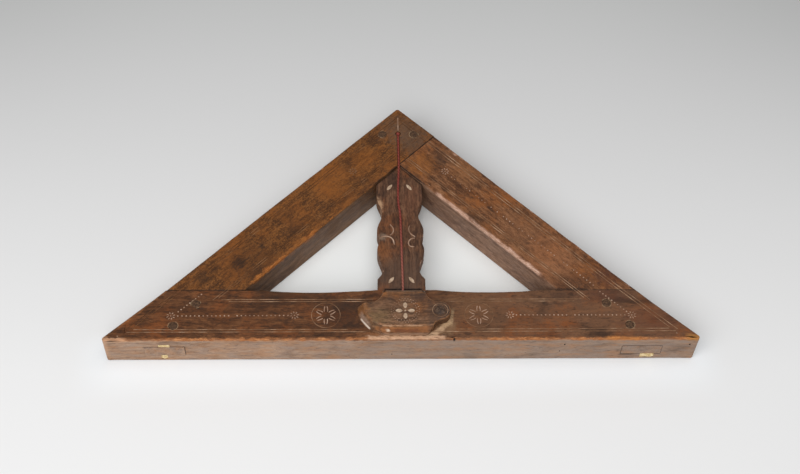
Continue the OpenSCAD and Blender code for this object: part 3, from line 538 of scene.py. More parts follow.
right_rafter_finishes = face_and_edge("right_rafter_walnut", math.radians(-45), 3.0,
    (tint(74, 44, 24), tint(109, 70, 43), tint(142, 98, 66)),
    (tint(98, 68, 52), tint(132, 99, 78), tint(156, 121, 97)),
    tint(48, 30, 19), PALE_ARRIS, rubbed=0.12,
    # Worn inner arris, its pale band partly a painted highlight where the bevel faces the light.
    arrises=[((73, LIP - 73, FACE), DOWN_RIGHT, 61, 3.4, 1.4, 0.95), ((52, HALF_RUN - 52, FACE), DOWN_RIGHT, 12, 2.4,
    4.0, 0.5)],
    spots=[((140, 54, FACE), (0.5, 0.9, 1.0), 12.0, tint(56, 36, 26), 0.75),
        ((172, 60, FACE), (0.6, 0.7, 1.0), 11.0, tint(70, 40, 30), 0.75),
        ((38, 184, FACE), (0.7, 0.7, 1.0), 9.0, tint(54, 40, 32), 0.6), ((19, 176, FACE), (0.6, 0.6, 1.0), 11.0,
        tint(150, 92, 42), 0.6),
        ((60, 170, FACE), (0.5, 0.5, 1.0), 10.0, tint(148, 100, 62), 0.5),
        ((100, 104, FACE), (0.4, 0.4, 1.0), 13.0, tint(140, 96, 66), 0.4),
        ((124, 78, FACE), (0.45, 0.45, 1.0), 15.0, tint(152, 100, 66), 0.6)],
    marks=[(NEAR_BLACK_AND_SHADE, (140, 47, FACE), ACROSS, 15, 2.2, 2.4, 0.85), (NEAR_BLACK_AND_SHADE, (175, 47, FACE), ACROSS, 18, 0.7, 0.6, 0.45),
        (NEAR_BLACK_AND_SHADE, (16, LIP + 16, FACE), UP_RIGHT, 24, 0.8, 0.5, 0.85), (NEAR_BLACK_AND_SHADE, (12, LIP - 12, FACE), DOWN_RIGHT, 18, 1.3,
        1.0, 0.9)],
    orange=tint(140, 82, 38), orange_cover=0.56, speckle=0.2)
board_finishes = face_and_edge("board_walnut", math.radians(90), 4.0,
    (tint(58, 36, 24), tint(90, 61, 43), tint(120, 86, 63)),
    (tint(84, 58, 42), tint(112, 80, 60), tint(138, 102, 78)),
    tint(46, 30, 22), PALE_ARRIS, rubbed=0.15,
    spots=[((-17.5, 134, BOARD_FACE), (1.2, 0.5, 1.0), 5.5, tint(184, 148, 116), 0.85),
        ((-15, 101, BOARD_FACE), (0.8, 1.1, 1.0), 5.0, tint(138, 120, 104), 0.6),
        ((-13.5, 82, BOARD_FACE), (1.3, 0.6, 1.0), 9.0, tint(136, 84, 46), 0.7),
        ((0, 62, BOARD_FACE), (0.4, 0.5, 1.0), 16.0, tint(84, 64, 52), 0.75),
        ((10, 140, BOARD_FACE), (0.9, 0.5, 1.0), 12.0, tint(116, 72, 50), 0.4)],
    # Painted shadow in the gap between the board's foot and the cover's tab.
    marks=[(NEAR_BLACK_AND_SHADE, (1.2, 49.0, BOARD_FACE), ACROSS, 16.0, 0.9, 0.4, 0.95),
        (tint(186, 150, 120), (-18.4, 132, 29.4), (0.2, -0.98, 0), 7, 2.2, 1.6, 0.8),
        (tint(176, 140, 112), (-17.8, 129, 24), OUT, 8, 5.0, 2.0, 0.7),
        (tint(122, 106, 92), (-18.4, 121, 28.6), (0.1, -0.99, 0), 5, 1.6, 1.6, 0.5),
        (NEAR_BLACK_AND_SHADE, (-14, LIP - 14, BOARD_FACE), UP_RIGHT, 18, 1.6, 1.0, 0.85), (NEAR_BLACK_AND_SHADE, (14, LIP - 14, BOARD_FACE),
        DOWN_RIGHT, 18, 1.6, 1.0, 0.85)],
    orange=tint(124, 72, 38), orange_cover=0.6, dull_side=0.3)
cover_finishes = face_and_edge("cover_walnut", 0.0, 5.0,
    (tint(68, 46, 32), tint(106, 76, 54), tint(140, 103, 77)),
    (tint(70, 45, 29), tint(106, 72, 48), tint(138, 98, 68)),
    tint(52, 35, 25), (tint(84, 56, 36), tint(120, 82, 54), tint(158, 114, 78)), rubbed=0.7,
    arrises=[((-2, 8.0, COVER_TOP - 1), ACROSS, 22, 2.0, 3.0, 0.5)],
    # The lighter spot at the lower left and the darker spots higher up are painted light and shade of the rounded
    # top.
    spots=[((-20, 17, COVER_TOP), (0.6, 0.8, 0.3), 9.0, tint(128, 102, 70), 0.6),
        ((14.5, 35, COVER_TOP), (0.6, 0.8, 0.3), 7.0, tint(56, 39, 33), 0.75),
        ((-16, 38, COVER_TOP), (0.8, 1.0, 0.3), 4.5, tint(154, 96, 48), 0.7),
        ((-33, 25, COVER_TOP - 1), (0.8, 0.8, 0.3), 6.0, tint(156, 98, 46), 0.75),
        ((31, 22, COVER_TOP), (0.6, 0.7, 0.3), 12.0, tint(60, 44, 36), 0.85),
        ((-10, 30, COVER_TOP), (0.5, 0.9, 0.3), 9.0, tint(66, 46, 34), 0.4)],
    marks=[(tint(158, 98, 52), (-2, 6.6, 36.8), ACROSS, 26, 3.4, 2.6, 0.6),
        (tint(88, 42, 28), (3, 5.8, 36.0), ACROSS, 12, 2.2, 2.0, 0.6),
        # Painted shade on the ear's lower right side.
        (tint(54, 39, 30), (29.5, 12.0, 36.0), (0.81, 0.59, 0), 8, 4.0, 1.6, 0.7),
        (tint(192, 152, 118), (-6, 8.6, 39.2), ACROSS, 22, 0.8, 1.8, 0.5),
        (tint(152, 130, 114), (1.2, 42.4, 37.7), ACROSS, 16.0, 1.3, 0.5, 0.8),
        # Painted shadow at both ends of the gap between the cover's tab and the board.
        (NEAR_BLACK_AND_SHADE, (-14.4, 42.0, 38.1), (0.25, 0.73, -0.64), 3.0, 0.9, 0.2, 0.9),
        (NEAR_BLACK_AND_SHADE, (16.8, 42.0, 38.1), (-0.25, 0.73, -0.64), 3.0, 0.9, 0.2, 0.9),
        # Painted sheen, then a painted highlight along the worn lower-left bevel.
        (tint(156, 132, 116), (-31.0, 16.6, 35.4), (0.5, -0.87, 0), 9, 3.4, 1.2, 0.65),
        (tint(220, 202, 186), (-30.2, 13.6, 33.7), (0.61, -0.79, 0), 6.5, 1.0, 0.4, 0.85),
        (tint(156, 122, 98), (-4, 3.9, 33.2), ACROSS, 26, 1.5, 1.4, 0.5),
        (PALE, (-12, 6.0, 36.0), (0.9, -0.4, 0), 2.4, 1.2, 0.9, 0.85)],
    orange=tint(136, 84, 44), orange_cover=0.58, gloss=0.38)


def plain_finish(name, shades_of, size, roughness, turn=0.0, coat=0.0):
    """A small piece's finish: three shades over uneven patches and fibres."""
    finish, tree, shader = new_finish(name)
    along = place_in_mm(tree, turn)[1]
    patch = noise_at(tree, along, 1 / size, 4.0, 0.6)
    tree.links.new(shades(tree, patch, [(0.3, shades_of[0]), (0.5, shades_of[1]), (0.7, shades_of[2])]),
        shader.inputs["Base Color"])
    tree.links.new(between(tree, patch, 0.3, 0.7, roughness - 0.08, roughness + 0.1), shader.inputs["Roughness"])
    bump = put(tree, "Bump", {"Strength": 0.4, "Distance": 0.0001,
        "Height": noise_at(tree, along, 2.5 / size, 3.0, 0.6)})
    tree.links.new(bump.outputs[0], shader.inputs["Normal"])
    shader.inputs["Specular IOR Level"].default_value = 0.2
    shader.inputs["Coat Weight"].default_value = coat
    return finish


peg_walnut = plain_finish("peg_end_grain", (tint(46, 31, 20), tint(76, 54, 38), tint(108, 82, 60)), 1.6, 0.7)
pivot_polish = plain_finish("pivot_polish", (tint(36, 25, 18), tint(62, 45, 34), tint(104, 82, 66)), 2.4, 0.5,
    coat=0.05)
slip_wood = plain_finish("slip_wood", (tint(176, 140, 92), tint(222, 194, 140), tint(246, 232, 196)), 2.4, 0.7)
bone = plain_finish("polished_bone", (tint(140, 112, 90), tint(178, 151, 126), tint(206, 184, 160)), 2.2, 0.45,
    coat=0.05)
bob_metal = plain_finish("bob_metal", (tint(70, 70, 72), tint(104, 104, 106), tint(136, 136, 138)), 3.0, 0.42)
bob_metal.node_tree.nodes["Principled BSDF"].inputs["Metallic"].default_value = 0.85
groove_dust = plain_finish("groove_dust", (tint(92, 62, 40), tint(132, 100, 74), tint(178, 148, 120)), 11.0, 0.9)
# Near-black fill for the drilled holes: painted shade inside them.
hole_painted_shade = plain_finish("hole_painted_shade", (tint(14, 10, 8), tint(20, 14, 10), tint(32, 23, 16)), 2.0, 0.9)
dot_dust = plain_finish("dot_dust", (tint(118, 88, 68), tint(164, 133, 111), tint(200, 174, 154)), 9.0, 0.9)
faint_dust = plain_finish("faint_groove_dust", (tint(68, 41, 21), tint(98, 64, 37), tint(140, 103, 70)), 12.0, 0.9)


def cord_finish():
    """Twisted red cord, with painted shade between its plies, and faded towards the bob."""
    finish, tree, shader = new_finish("faded_red_cord")
    place = place_in_mm(tree)[0]
    height = put(tree, "SeparateXYZ", {0: place}).outputs["Y"]
    fading = between(tree, plus(tree, height, times(tree, noise_at(tree, place, 0.12, 3.0), 30.0)),
        150.0, 60.0)
    red = mixed(tree, fading, tint(124, 50, 41), tint(150, 92, 78))
    red = mixed(tree, between(tree, noise_at(tree, place, 1.4, 4.0, 0.7), 0.45, 0.8), red, tint(176, 112, 98))
    # Painted shade: the cord darkens in the valleys between its plies.
    valley = put(tree, "Attribute", None, attribute_name="valley").outputs["Fac"]
    red = mixed(tree, between(tree, valley, 0.35, 1.0, 0.0, 0.7), red, tint(76, 24, 22))
    tree.links.new(red, shader.inputs["Base Color"])
    shader.inputs["Roughness"].default_value = 0.9
    shader.inputs["Specular IOR Level"].default_value = 0.2
    bump = put(tree, "Bump", {"Strength": 0.6, "Distance": 0.0001, "Height": noise_at(tree, place, 3.0, 3.0, 0.7)})
    tree.links.new(bump.outputs[0], shader.inputs["Normal"])
    return finish


faded_cord = cord_finish()
plumb_cord.data.materials.append(faded_cord)

# ---- woodwork: each wooden piece is its CAD shape, worn along its arrises and then cut with its ornament


def enter(mode):
    bpy.ops.object.mode_set(mode=mode)


def only(piece):
    bpy.ops.object.select_all(action="DESELECT")
    piece.select_set(True)
    bpy.context.view_layer.objects.active = piece


def blank_of(node, name, body, slot, *finishes):
    """A copy of a CAD piece as one clean skin, which stands for it."""
    piece = placed(name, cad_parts[node].data.copy())
    only(piece)
    piece.data.materials.clear()
    for finish in finishes:
        piece.data.materials.append(finish)
    bpy.context.tool_settings.mesh_select_mode = (False, True, False)
    enter("EDIT")
    bpy.ops.mesh.select_all(action="SELECT")
    bpy.ops.mesh.customdata_custom_splitnormals_clear()
    bpy.ops.mesh.remove_doubles(threshold=0.000005)
    bpy.ops.mesh.dissolve_limited(angle_limit=math.radians(0.8))
    enter("OBJECT")
    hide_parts(node)
    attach(piece, body)
    return piece


def arrises_of(skin, wear_of):
    """The sharp outer edges of a skin, each with the width of its wear."""
    found = []
    for edge in skin.edges:
        if len(edge.link_faces) == 2 and edge.calc_face_angle_signed(0) > math.radians(24):
            middle = in_mm((edge.verts[0].co + edge.verts[1].co) / 2)
            width = wear_of(middle, [face.normal for face in edge.link_faces])
            if width > 0:
                found.append((edge, width))
    return found


def sliced(piece, start, end, step):
    """Divides a piece by planes across its length, clear of its corners, so that its arrises can wear unevenly."""
    a, b = at(*start, 0), at(*end, 0)
    along = (b - a).normalized()
    skin = bmesh.new()
    skin.from_mesh(piece.data)
    corners = [(corner.co - a).dot(along) for edge in skin.edges for corner in edge.verts
        if edge.calc_face_angle_signed(0) > math.radians(24)]
    skin.free()
    count = round((b - a).length * 1000 / step)
    only(piece)
    enter("EDIT")
    for i in range(count + 1):
        place = (b - a).length * i / count
        if min(abs(place - corner) for corner in corners) > 0.0019:
            bpy.ops.mesh.select_all(action="SELECT")
            bpy.ops.mesh.bisect(plane_co=a + along * place, plane_no=along, threshold=0.000001)
    enter("OBJECT")


def crossed(corner, ends):
    """Whether edges cross both faces beside an arris squarely enough for its width to change at a corner."""
    others = [edge for edge in corner.link_edges if edge not in ends]
    for edge in others:
        for end in ends:
            turn = (edge.other_vert(corner).co - corner.co).angle(end.other_vert(corner).co - corner.co)
            if abs(math.degrees(turn) - 90) > 50:
                return False
    return len(others) > 1


def chained(found):
    """Arrises in chains: those that run on into each other where no other edges cross both faces."""
    chain_of = {edge: {edge} for edge in found}
    for corner in {corner for edge in found for corner in edge.verts}:
        ends = [edge for edge in corner.link_edges if edge in found]
        if len(ends) == 2:
            a, b = (edge.other_vert(corner).co - corner.co for edge in ends)
            apart = chain_of[ends[0]] is not chain_of[ends[1]]
            if apart and a.angle(b) > math.radians(100) and not crossed(corner, ends):
                merged = chain_of[ends[0]] | chain_of[ends[1]]
                for edge in merged:
                    chain_of[edge] = merged
    return {id(chain): chain for chain in chain_of.values()}.values()


def mark_arrises(piece, wear_of, uneven=0.5):
    """Gives each bit of an arris the width, in millimetres, to which it is to be rounded."""
    skin = bmesh.new()
    skin.from_mesh(piece.data)
    weights = skin.edges.layers.float.get("bevel_weight_edge") or skin.edges.layers.float.new("bevel_weight_edge")
    widths = dict(arrises_of(skin, wear_of))
    for chain in chained(widths):
        first = min(chain, key=lambda edge: edge.index)
        middle = (first.verts[0].co + first.verts[1].co) / 2
        change = noise.noise(middle * 90) + 0.6 * noise.noise(middle * 310)
        width = min(widths[edge] for edge in chain) * (1 + uneven * change)
        if len(chain) > 1:
            width = min(width, 1.5)
        for edge in chain:
            edge[weights] = min(1.0, max(0.02, width / 4))
    skin.to_mesh(piece.data)
    skin.free()


def round_arrises(piece, segments=3):
    """Rounds the marked arrises."""
    only(piece)
    rounding = piece.modifiers.new("rounding", "BEVEL")
    rounding.limit_method = "WEIGHT"
    rounding.width = 0.004
    rounding.segments = segments
    rounding.use_clamp_overlap = False
    rounding.loop_slide = False
    rounding.material = 1 if len(piece.data.materials) > 1 else 0
    bpy.ops.object.modifier_apply(modifier="rounding")


def filled(cutter, fill):
    """A cutter whose cuts show the fill's finish."""
    cutter.data.materials.clear()
    cutter.data.materials.append(fill)
    return cutter


def cut(piece, *cutters):
    """Cuts shapes that don't meet each other out of a piece, all at once."""
    cutter = joined(list(cutters), "cutter")
    only(piece)
    carving = piece.modifiers.new("carving", "BOOLEAN")
    carving.operation = "DIFFERENCE"
    carving.solver = "EXACT"
    carving.material_mode = "TRANSFER"
    carving.object = cutter
    bpy.ops.object.modifier_apply(modifier="carving")
    bpy.data.objects.remove(cutter)


def even_shading(piece, angle=32):
    only(piece)
    facets = piece.modifiers.new("facets", "TRIANGULATE")
    facets.min_vertices = 5
    bpy.ops.object.modifier_apply(modifier="facets")
    bpy.ops.object.shade_smooth_by_angle(angle=math.radians(angle))
    flats = piece.modifiers.new("flats", "WEIGHTED_NORMAL")
    flats.keep_sharp = True
    flats.weight = 90
    bpy.ops.object.modifier_apply(modifier="flats")


def joined(pieces, name):
    bpy.ops.object.select_all(action="DESELECT")
    for piece in pieces:
        piece.select_set(True)
    bpy.context.view_layer.objects.active = pieces[0]
    if len(pieces) > 1:
        bpy.ops.object.join()
    pieces[0].name = name
    bpy.ops.object.transform_apply(location=True, rotation=True, scale=True)
    return pieces[0]


def copies(model, places):
    """Copies of one model, each with its own mesh, at places of position, turn and scale; the model goes."""
    made = []
    for position, turn, scale in places:
        piece = placed("copy", model.data.copy())
        piece.location = position
        piece.rotation_euler = (0, 0, turn)
        piece.scale = scale
        made.append(piece)
    bpy.data.objects.remove(model)
    return made


def scribing(lines, z, width=0.8):
    """A cutter for scribed lines: a square rod on edge along each line, its corners a little above the wood."""
    bpy.ops.mesh.primitive_cylinder_add(vertices=4, radius=width / 2000 + 0.00015, depth=1, location=(0, 0, 0))
    rod = bpy.context.object
    bpy.ops.object.transform_apply(location=True, rotation=True, scale=True)
    made = []
    for start, end in lines:
        a, b = at(*start, z + 0.15), at(*end, z + 0.15)
        piece = placed("rod", rod.data.copy())
        across = (b - a).normalized().cross(Vector((0, 0, 1)))
        turn = Matrix((across, Vector((0, 0, 1)), -(b - a).normalized())).transposed().to_4x4()
        piece.matrix_world = Matrix.Translation((a + b) / 2) @ turn @ Matrix.Diagonal((1, 1, (b - a).length, 1))
        made.append(piece)
    bpy.data.objects.remove(rod)
    return joined(made, "scribing")


def punching(points, z, width=1.35, depth=0.75):
    """A cutter for punched dots: small cones with their points down."""
    bpy.ops.mesh.primitive_cone_add(vertices=7, radius1=0.0, radius2=width / 2000 * 1.2, depth=depth * 1.2 / 1000)
    high = z - depth * 0.4
    return joined(copies(bpy.context.object, [(at(x, y, high), x * 3.1 + y, (1, 1, 1)) for x, y in points]),
        "punching")


def asterisk(x, y, radius, z, rays=8, turn=0.0):
    """A cutter for a punched rosette: lozenge rays round a dot, none of them touching."""
    bpy.ops.mesh.primitive_cone_add(vertices=4, radius1=0.0, radius2=1.0, depth=1)
    places = []
    for ray in range(rays):
        angle = turn + math.tau * ray / rays
        middle = radius * 0.66
        places.append((at(x + middle * math.cos(angle), y + middle * math.sin(angle), z - 0.35), angle,
            (radius * 0.37 / 1000, radius * 0.16 / 1000, 1.0 / 1000)))
    places.append((at(x, y, z - 0.35), 0.0, (0.85 / 1000, 0.85 / 1000, 1.0 / 1000)))
    return joined(copies(bpy.context.object, places), "asterisk")


def curved_groove(runs, z, width=0.9):
    """A cutter for carved curves: a thin rod swept along smooth lines of points."""
    made = []
    for run in runs:
        line = smooth_route([at(x, y, z + 0.08) for x, y in run], 0.001)
        curve = bpy.data.curves.new("sweep", "CURVE")
        curve.dimensions = "3D"
        spline = curve.splines.new("POLY")
        spline.points.add(len(line) - 1)
        for i, (point, here) in enumerate(zip(spline.points, line)):
            ends = min(i, len(line) - 1 - i) / max(1, len(line) - 1)
            point.co = (*here, 1)
            point.radius = min(1.0, 0.45 + 3.5 * ends)
        curve.bevel_depth = width / 2000
        curve.bevel_resolution = 1
        curve.use_fill_caps = True
        piece = placed("sweep", curve)
        only(piece)
        bpy.ops.object.convert(target="MESH")
        enter("EDIT")
        bpy.ops.mesh.select_all(action="SELECT")
        bpy.ops.mesh.remove_doubles(threshold=0.000002)
        enter("OBJECT")
        made.append(piece)
    return joined(made, "groove")


def ring_groove(x, y, radius, z, width=0.6):
    """A cutter for a round incised line."""
    bpy.ops.mesh.primitive_torus_add(major_segments=48, minor_segments=6, major_radius=radius / 1000,
        minor_radius=width / 2000, location=at(x, y, z + 0.08))
    return joined([bpy.context.object], "ring")


def drilled(centre, radius, depth, tilt):
    bpy.ops.mesh.primitive_cylinder_add(vertices=10, radius=radius / 1000, depth=depth / 1000, location=centre,
        rotation=(tilt, 0, 0))
    return joined([bpy.context.object], "drilled")


def petal_outlines(x, y, radius):
    """The sides of six petals in a ring, drawn as with a pair of compasses; none of them meet."""
    runs = []
    for petal in range(6):
        tip = math.tau * petal / 6 + math.pi / 6
        for side in (-1, 1):
            cx = x + radius * math.cos(tip + side * math.pi / 3)
            cy = y + radius * math.sin(tip + side * math.pi / 3)
            toward = tip + side * math.pi / 3 + math.pi
            angles = [toward + math.radians(turn) * side for turn in range(-50, -19, 5)]
            runs.append([(cx + radius * math.cos(turn), cy + radius * math.sin(turn)) for turn in angles])
    return runs


def row_of_dots(start, end, pitch, skip=0.0, seed=1):
    dice = random.Random(seed)
    a, b = Vector(start), Vector(end)
    count = round((b - a).length / pitch)
    return [tuple(a.lerp(b, i / count)) for i in range(count + 1) if dice.random() >= skip]


def near(point, centre, radius):
    return math.hypot(point.x - centre[0], point.y - centre[1]) < radius


def outer_faces(middle, normals):
    """Whether an arris bounds the carved face, and whether it bounds the back."""
    return (middle.z > BOARD_FACE - 0.5 and any(n.z > 0.9 for n in normals),
        middle.z < 0.5 and any(n.z < -0.9 for n in normals))


def bar_wear(middle, normals):
    top, foot = outer_faces(middle, normals)
    if any(near(middle, peg, 4.6) for peg in PEGS.values()):
        return 0
    if near(middle, POCKET, 17.8) and middle.z > 15 or near(middle, PIVOT, 4):
        return 0.35 if top else 0
    if middle.y < 0.6 and 5 < middle.z < 27 and abs(middle.x) > 150:
        return 0.25 if not (top or foot) else 0
    if abs(middle.x) < 26 and middle.y > 30:
        return 0.35 if top else 0
    if not top and not foot:
        return 0
    if middle.y < 3 and abs(middle.x - 41.2) < 6:
        return 0.5
    if middle.y < 3:
        return 1.8 if top else 1.1
    if middle.y > 44:
        in_opening = 21 < abs(middle.x) < 127
        return (1.1 if top else 0.8) if in_opening else 0.3
    return 1.3 if top else 0.9


def rafter_wear(left):
    def wear(middle, normals):
        top, foot = outer_faces(middle, normals)
        if any(near(middle, peg, 4.6) for peg in PEGS.values()):
            return 0
        if middle.y < 47 or not (top or foot):
            return 0
        outer = HALF_RUN - abs(middle.x) - middle.y
        inner = middle.y - (LIP - abs(middle.x))
        if abs(outer) < 1.6:
            return 1.4 if top else 1.0
        if abs(inner) < 0.8 and middle.y < LIP - 22:
            return (1.5 if left else 2.3) if top else 0.9
        return 0.35 if top else 0.2
    return wear


def board_wear(middle, normals):
    top, foot = outer_faces(middle, normals)
    if not (top or foot):
        return 0
    if any(near(middle, (x, y), 4.6) for x in (-8.4, 8.4) for y in (58, 153)):
        return 0
    if middle.y > 156:
        return 0.3
    if abs(middle.x) < 16.5 and middle.y < 50 or abs(middle.y - 97.3) < 4:
        return 0.4
    return 0.5


def cover_wear(middle, normals):
    top = any(n.z > 0.9 for n in normals)
    if near(middle, FLOWER, 9.5) and middle.z > 37:
        return 0
    if near(middle, PIVOT, 5):
        return 0.2 if top else 0
    if middle.z < 32.6:
        return 0 if near(middle, POCKET, 15.6) else 0.35
    if middle.z < 38 and near(middle, POCKET, 15.6):
        return 0
    return 0.95


def bar_with_ornament():
    bar = blank_of("base_bar", "sole_bar_worn", "frame", "sole_bar_wood", *bar_finishes)
    sliced(bar, (-233.3, 0), (233.9, 0), 5.2)
    mark_arrises(bar, bar_wear)
    lines, faint = [], []
    for side in (-1, 1):
        lines += [((side * 221, 7.5), (side * 1, 7.4)), ((side * 216, 9.9), (side * 44, 9.6))]
        lines += [((side * 23.5, 38.0), (side * 147, 38.0)), ((side * 23.5, 36.0), (side * 141, 36.0))]
        for low_inset, inset, reach in ((5.4, 7.2, 9.2), (8.5, 9.7, 10.9)):
            start, end = HALF_RUN - low_inset * math.sqrt(2) - reach, HALF_RUN - inset * math.sqrt(2) - 47.6
            (faint if side < 0 else lines).append(((side * start, reach), (side * end, 47.6)))
        for inset, low in ((9, 39.3), (11, 37.4)):
            run = LIP + inset * math.sqrt(2)
            lines.append(((side * (run - low), low), (side * (run - 47.6), 47.6)))
    dots = []
    for side in (-1, 1):
        dots += row_of_dots((side * 92.6, 22.8), (side * 181.2, 22.5), 3.4, 0.05, 10)
    dots += [(-227.9, 3.9), (221.5, 5.3)]
    dots += row_of_dots((-181.1, 26.5), (-163.4, 43.0), 2.95)
    dots += row_of_dots((182.9, 25.8), (163.0, 45.0), 3.25)
    rosettes = []
    for side in (-1, 1):
        rosettes.append(asterisk(side * 87.4, 22.9, 4.1, FACE, turn=0.2))
        rosettes.append(asterisk(side * 186.8, 22.5, 4.1, FACE, turn=0.3))
    # Drilled holes, their walls near black as painted shade.
    holes = [drilled(at(41.2, 1.7, FACE - 4), 0.8, 12, 0)]
    for x, z, radius in ((131.2, 23.4, 0.8), (128.2, 12.9, 0.6), (233.2, 23.0, 0.8), (-8.5, 8.6, 0.6)):
        holes.append(drilled(at(x, 1, z), radius, 8, math.pi / 2))
    flowers = [curved_groove(petal_outlines(side * 62, 23.0, 10.2), FACE, 0.85) for side in (-1, 1)]
    rims = [ring_groove(side * 62, 23.0, 11.6, FACE, 0.5) for side in (-1, 1)]
    cut(bar, filled(scribing(lines, FACE, 0.6), groove_dust), filled(scribing(faint, FACE, 0.6), faint_dust),
        filled(punching(dots, FACE), dot_dust),
        filled(joined(rosettes + flowers, "rosettes"), dot_dust),
        filled(joined(rims, "rims"), groove_dust), filled(joined(holes, "holes"), hole_painted_shade))
    round_arrises(bar)
    even_shading(bar)
    return bar


def rafter_with_ornament(left):
    name = "left" if left else "right"
    side = -1 if left else 1
    rafter = blank_of(name + "_rafter", name + "_rafter_worn", "frame", name + "_rafter_wood",
        *(left_rafter_finishes if left else right_rafter_finishes))
    sliced(rafter, (side * 187.3, 2.3), (side * 2.1, 187.5), 5.2)
    mark_arrises(rafter, rafter_wear(left))
    lines = []
    for inset in (7.2, 9.7):
        run = HALF_RUN - inset * math.sqrt(2)
        top = 1.2 if left else 32.0 - inset / math.sqrt(2) + 0.6
        lines.append(((side * (run - 46.8), 46.8), (side * top, run - top)))
    for inset in (9, 11):
        run = LIP + inset * math.sqrt(2)
        top = 2.2
        lines.append(((side * (run - 46.8), 46.8), (side * top, run - top)))
    cutters = []
    if left:
        for inset in (7.2, 9.7):
            run = HALF_RUN - inset * math.sqrt(2)
            foot = 32.0 - inset / math.sqrt(2)
            lines.append(((2.6, run - 2.6), (foot, run - foot)))
        for inset in (9, 11):
            run = LIP + inset * math.sqrt(2)
            lines.append(((2.4, run - 2.4), (inset / math.sqrt(2) - 0.4, run - inset / math.sqrt(2) + 0.4)))
        cutters.append(filled(scribing([((0, 213.9), (0, 228.4))], FACE, 0.85), dot_dust))
    else:
        dots = row_of_dots((45.5, 162.5), (163.2, 46.4), 3.5, 0.22, 8)
        cutters.append(filled(punching(dots, FACE, 1.1), dot_dust))
    cutters.append(filled(scribing(lines, FACE, 0.6), faint_dust if left else groove_dust))
    cutters.append(filled(asterisk(side * 40, 168.7, 4.0, FACE, turn=0.1), groove_dust if left else dot_dust))
    cut(rafter, *cutters)
    round_arrises(rafter)
    even_shading(rafter)
    return rafter


def board_with_scrolls():
    board = blank_of("plumb_board", "plumb_board_worn", "frame", "board_wood", *board_finishes)
    mark_arrises(board, board_wear, uneven=0.0)
    scrolls = [
        [(-8.6, 113.9), (-6.5, 110.6), (-5.9, 107.4), (-7.0, 104.4), (-8.8, 102.8)],
        [(-18.3, 98.8), (-16.0, 100.8), (-12.8, 101.7), (-9.0, 101.0), (-6.4, 98.2), (-5.3, 93.0)],
        [(7.9, 112.6), (7.1, 109.3), (7.7, 106.0), (9.5, 103.4), (12.5, 101.2)],
        [(12.4, 100.0), (9.2, 99.2), (7.0, 96.9), (6.7, 93.9), (8.2, 91.5), (11.4, 91.1)],
    ]
    cut(board, filled(curved_groove(scrolls, BOARD_FACE, 1.15), dot_dust))
    round_arrises(board)
    even_shading(board)
    return board


def cover_with_dots():
    cover = blank_of("bob_cover", "bob_cover_worn", "cover", "cover_wood", *cover_finishes)
    sliced(cover, (-34.3, 20), (37.1, 20), 4.4)
    mark_arrises(cover, cover_wear, uneven=0.0)
    dots = []
    for ring, (radius, count) in enumerate(((9.4, 26), (11.3, 30))):
        for i in range(count):
            angle = math.tau * (i + 0.5 * ring) / count
            dots.append((FLOWER[0] + radius * math.cos(angle), FLOWER[1] + radius * math.sin(angle)))
    cut(cover, filled(punching(dots, COVER_TOP, 0.7, 0.45), dot_dust),
        filled(ring_groove(*PIVOT, 6.2, COVER_TOP, 0.55), groove_dust))
    round_arrises(cover)
    even_shading(cover)
    return cover


bar_with_ornament()
rafter_with_ornament(True)
rafter_with_ornament(False)
board_with_scrolls()
cover_with_dots()

# ---- small pieces


def whittled_peg(node, sides, turn):
    """A peg pared to a few uneven sides, with a slightly domed end."""
    low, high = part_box(node)
    centre = (low + high) / 2
    radius = (high.x - low.x) / 2 * 0.985
    bpy.ops.mesh.primitive_cylinder_add(vertices=sides, radius=radius, depth=high.z - low.z, location=centre,
        rotation=(0, 0, turn))
    peg = joined([bpy.context.object], node + "_whittled")
    for face in peg.data.polygons:
        face.select = face.normal.z > 0.9
    bpy.context.tool_settings.mesh_select_mode = (False, False, True)
    enter("EDIT")
    bpy.ops.mesh.inset(thickness=radius * 0.16)
    bpy.ops.mesh.inset(thickness=radius * 0.3)
    enter("OBJECT")
    for corner in peg.data.vertices:
        out = math.hypot(corner.co.x - centre.x, corner.co.y - centre.y) / radius
        if corner.co.z > high.z - 0.0001 and out > 0.75:
            corner.co.z -= 0.00035 * out ** 6
    peg.data.materials.append(peg_walnut)
    even_shading(peg, 50)
    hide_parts(node)
    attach(peg, "frame")
    return peg


for peg_node, peg_sides, peg_turn in (("apex_peg_left", 14, 0.1), ("apex_peg_right", 13, 0.4),
        ("left_foot_peg_upper", 12, 0.2), ("left_foot_peg_lower", 9, 0.5),
        ("right_foot_peg_upper", 11, 0.3), ("right_foot_peg_lower", 8, 0.2)):
    whittled_peg(peg_node, peg_sides, peg_turn)


def inlay(node, body):
    piece = blank_of(node, node + "_inlay", body, "bone", bone)
    mark_arrises(piece, lambda middle, normals: 0.18 if any(n.z > 0.9 for n in normals) else 0, uneven=0.2)
    round_arrises(piece, segments=2)
    even_shading(piece, 50)
    return piece


for leaf in ("upper_left", "upper_right", "lower_left", "lower_right"):
    inlay("board_leaf_" + leaf, "frame")
for petal in ("petal_right", "petal_top", "petal_left", "petal_bottom", "flower_eye"):
    inlay("cover_" + petal, "cover")


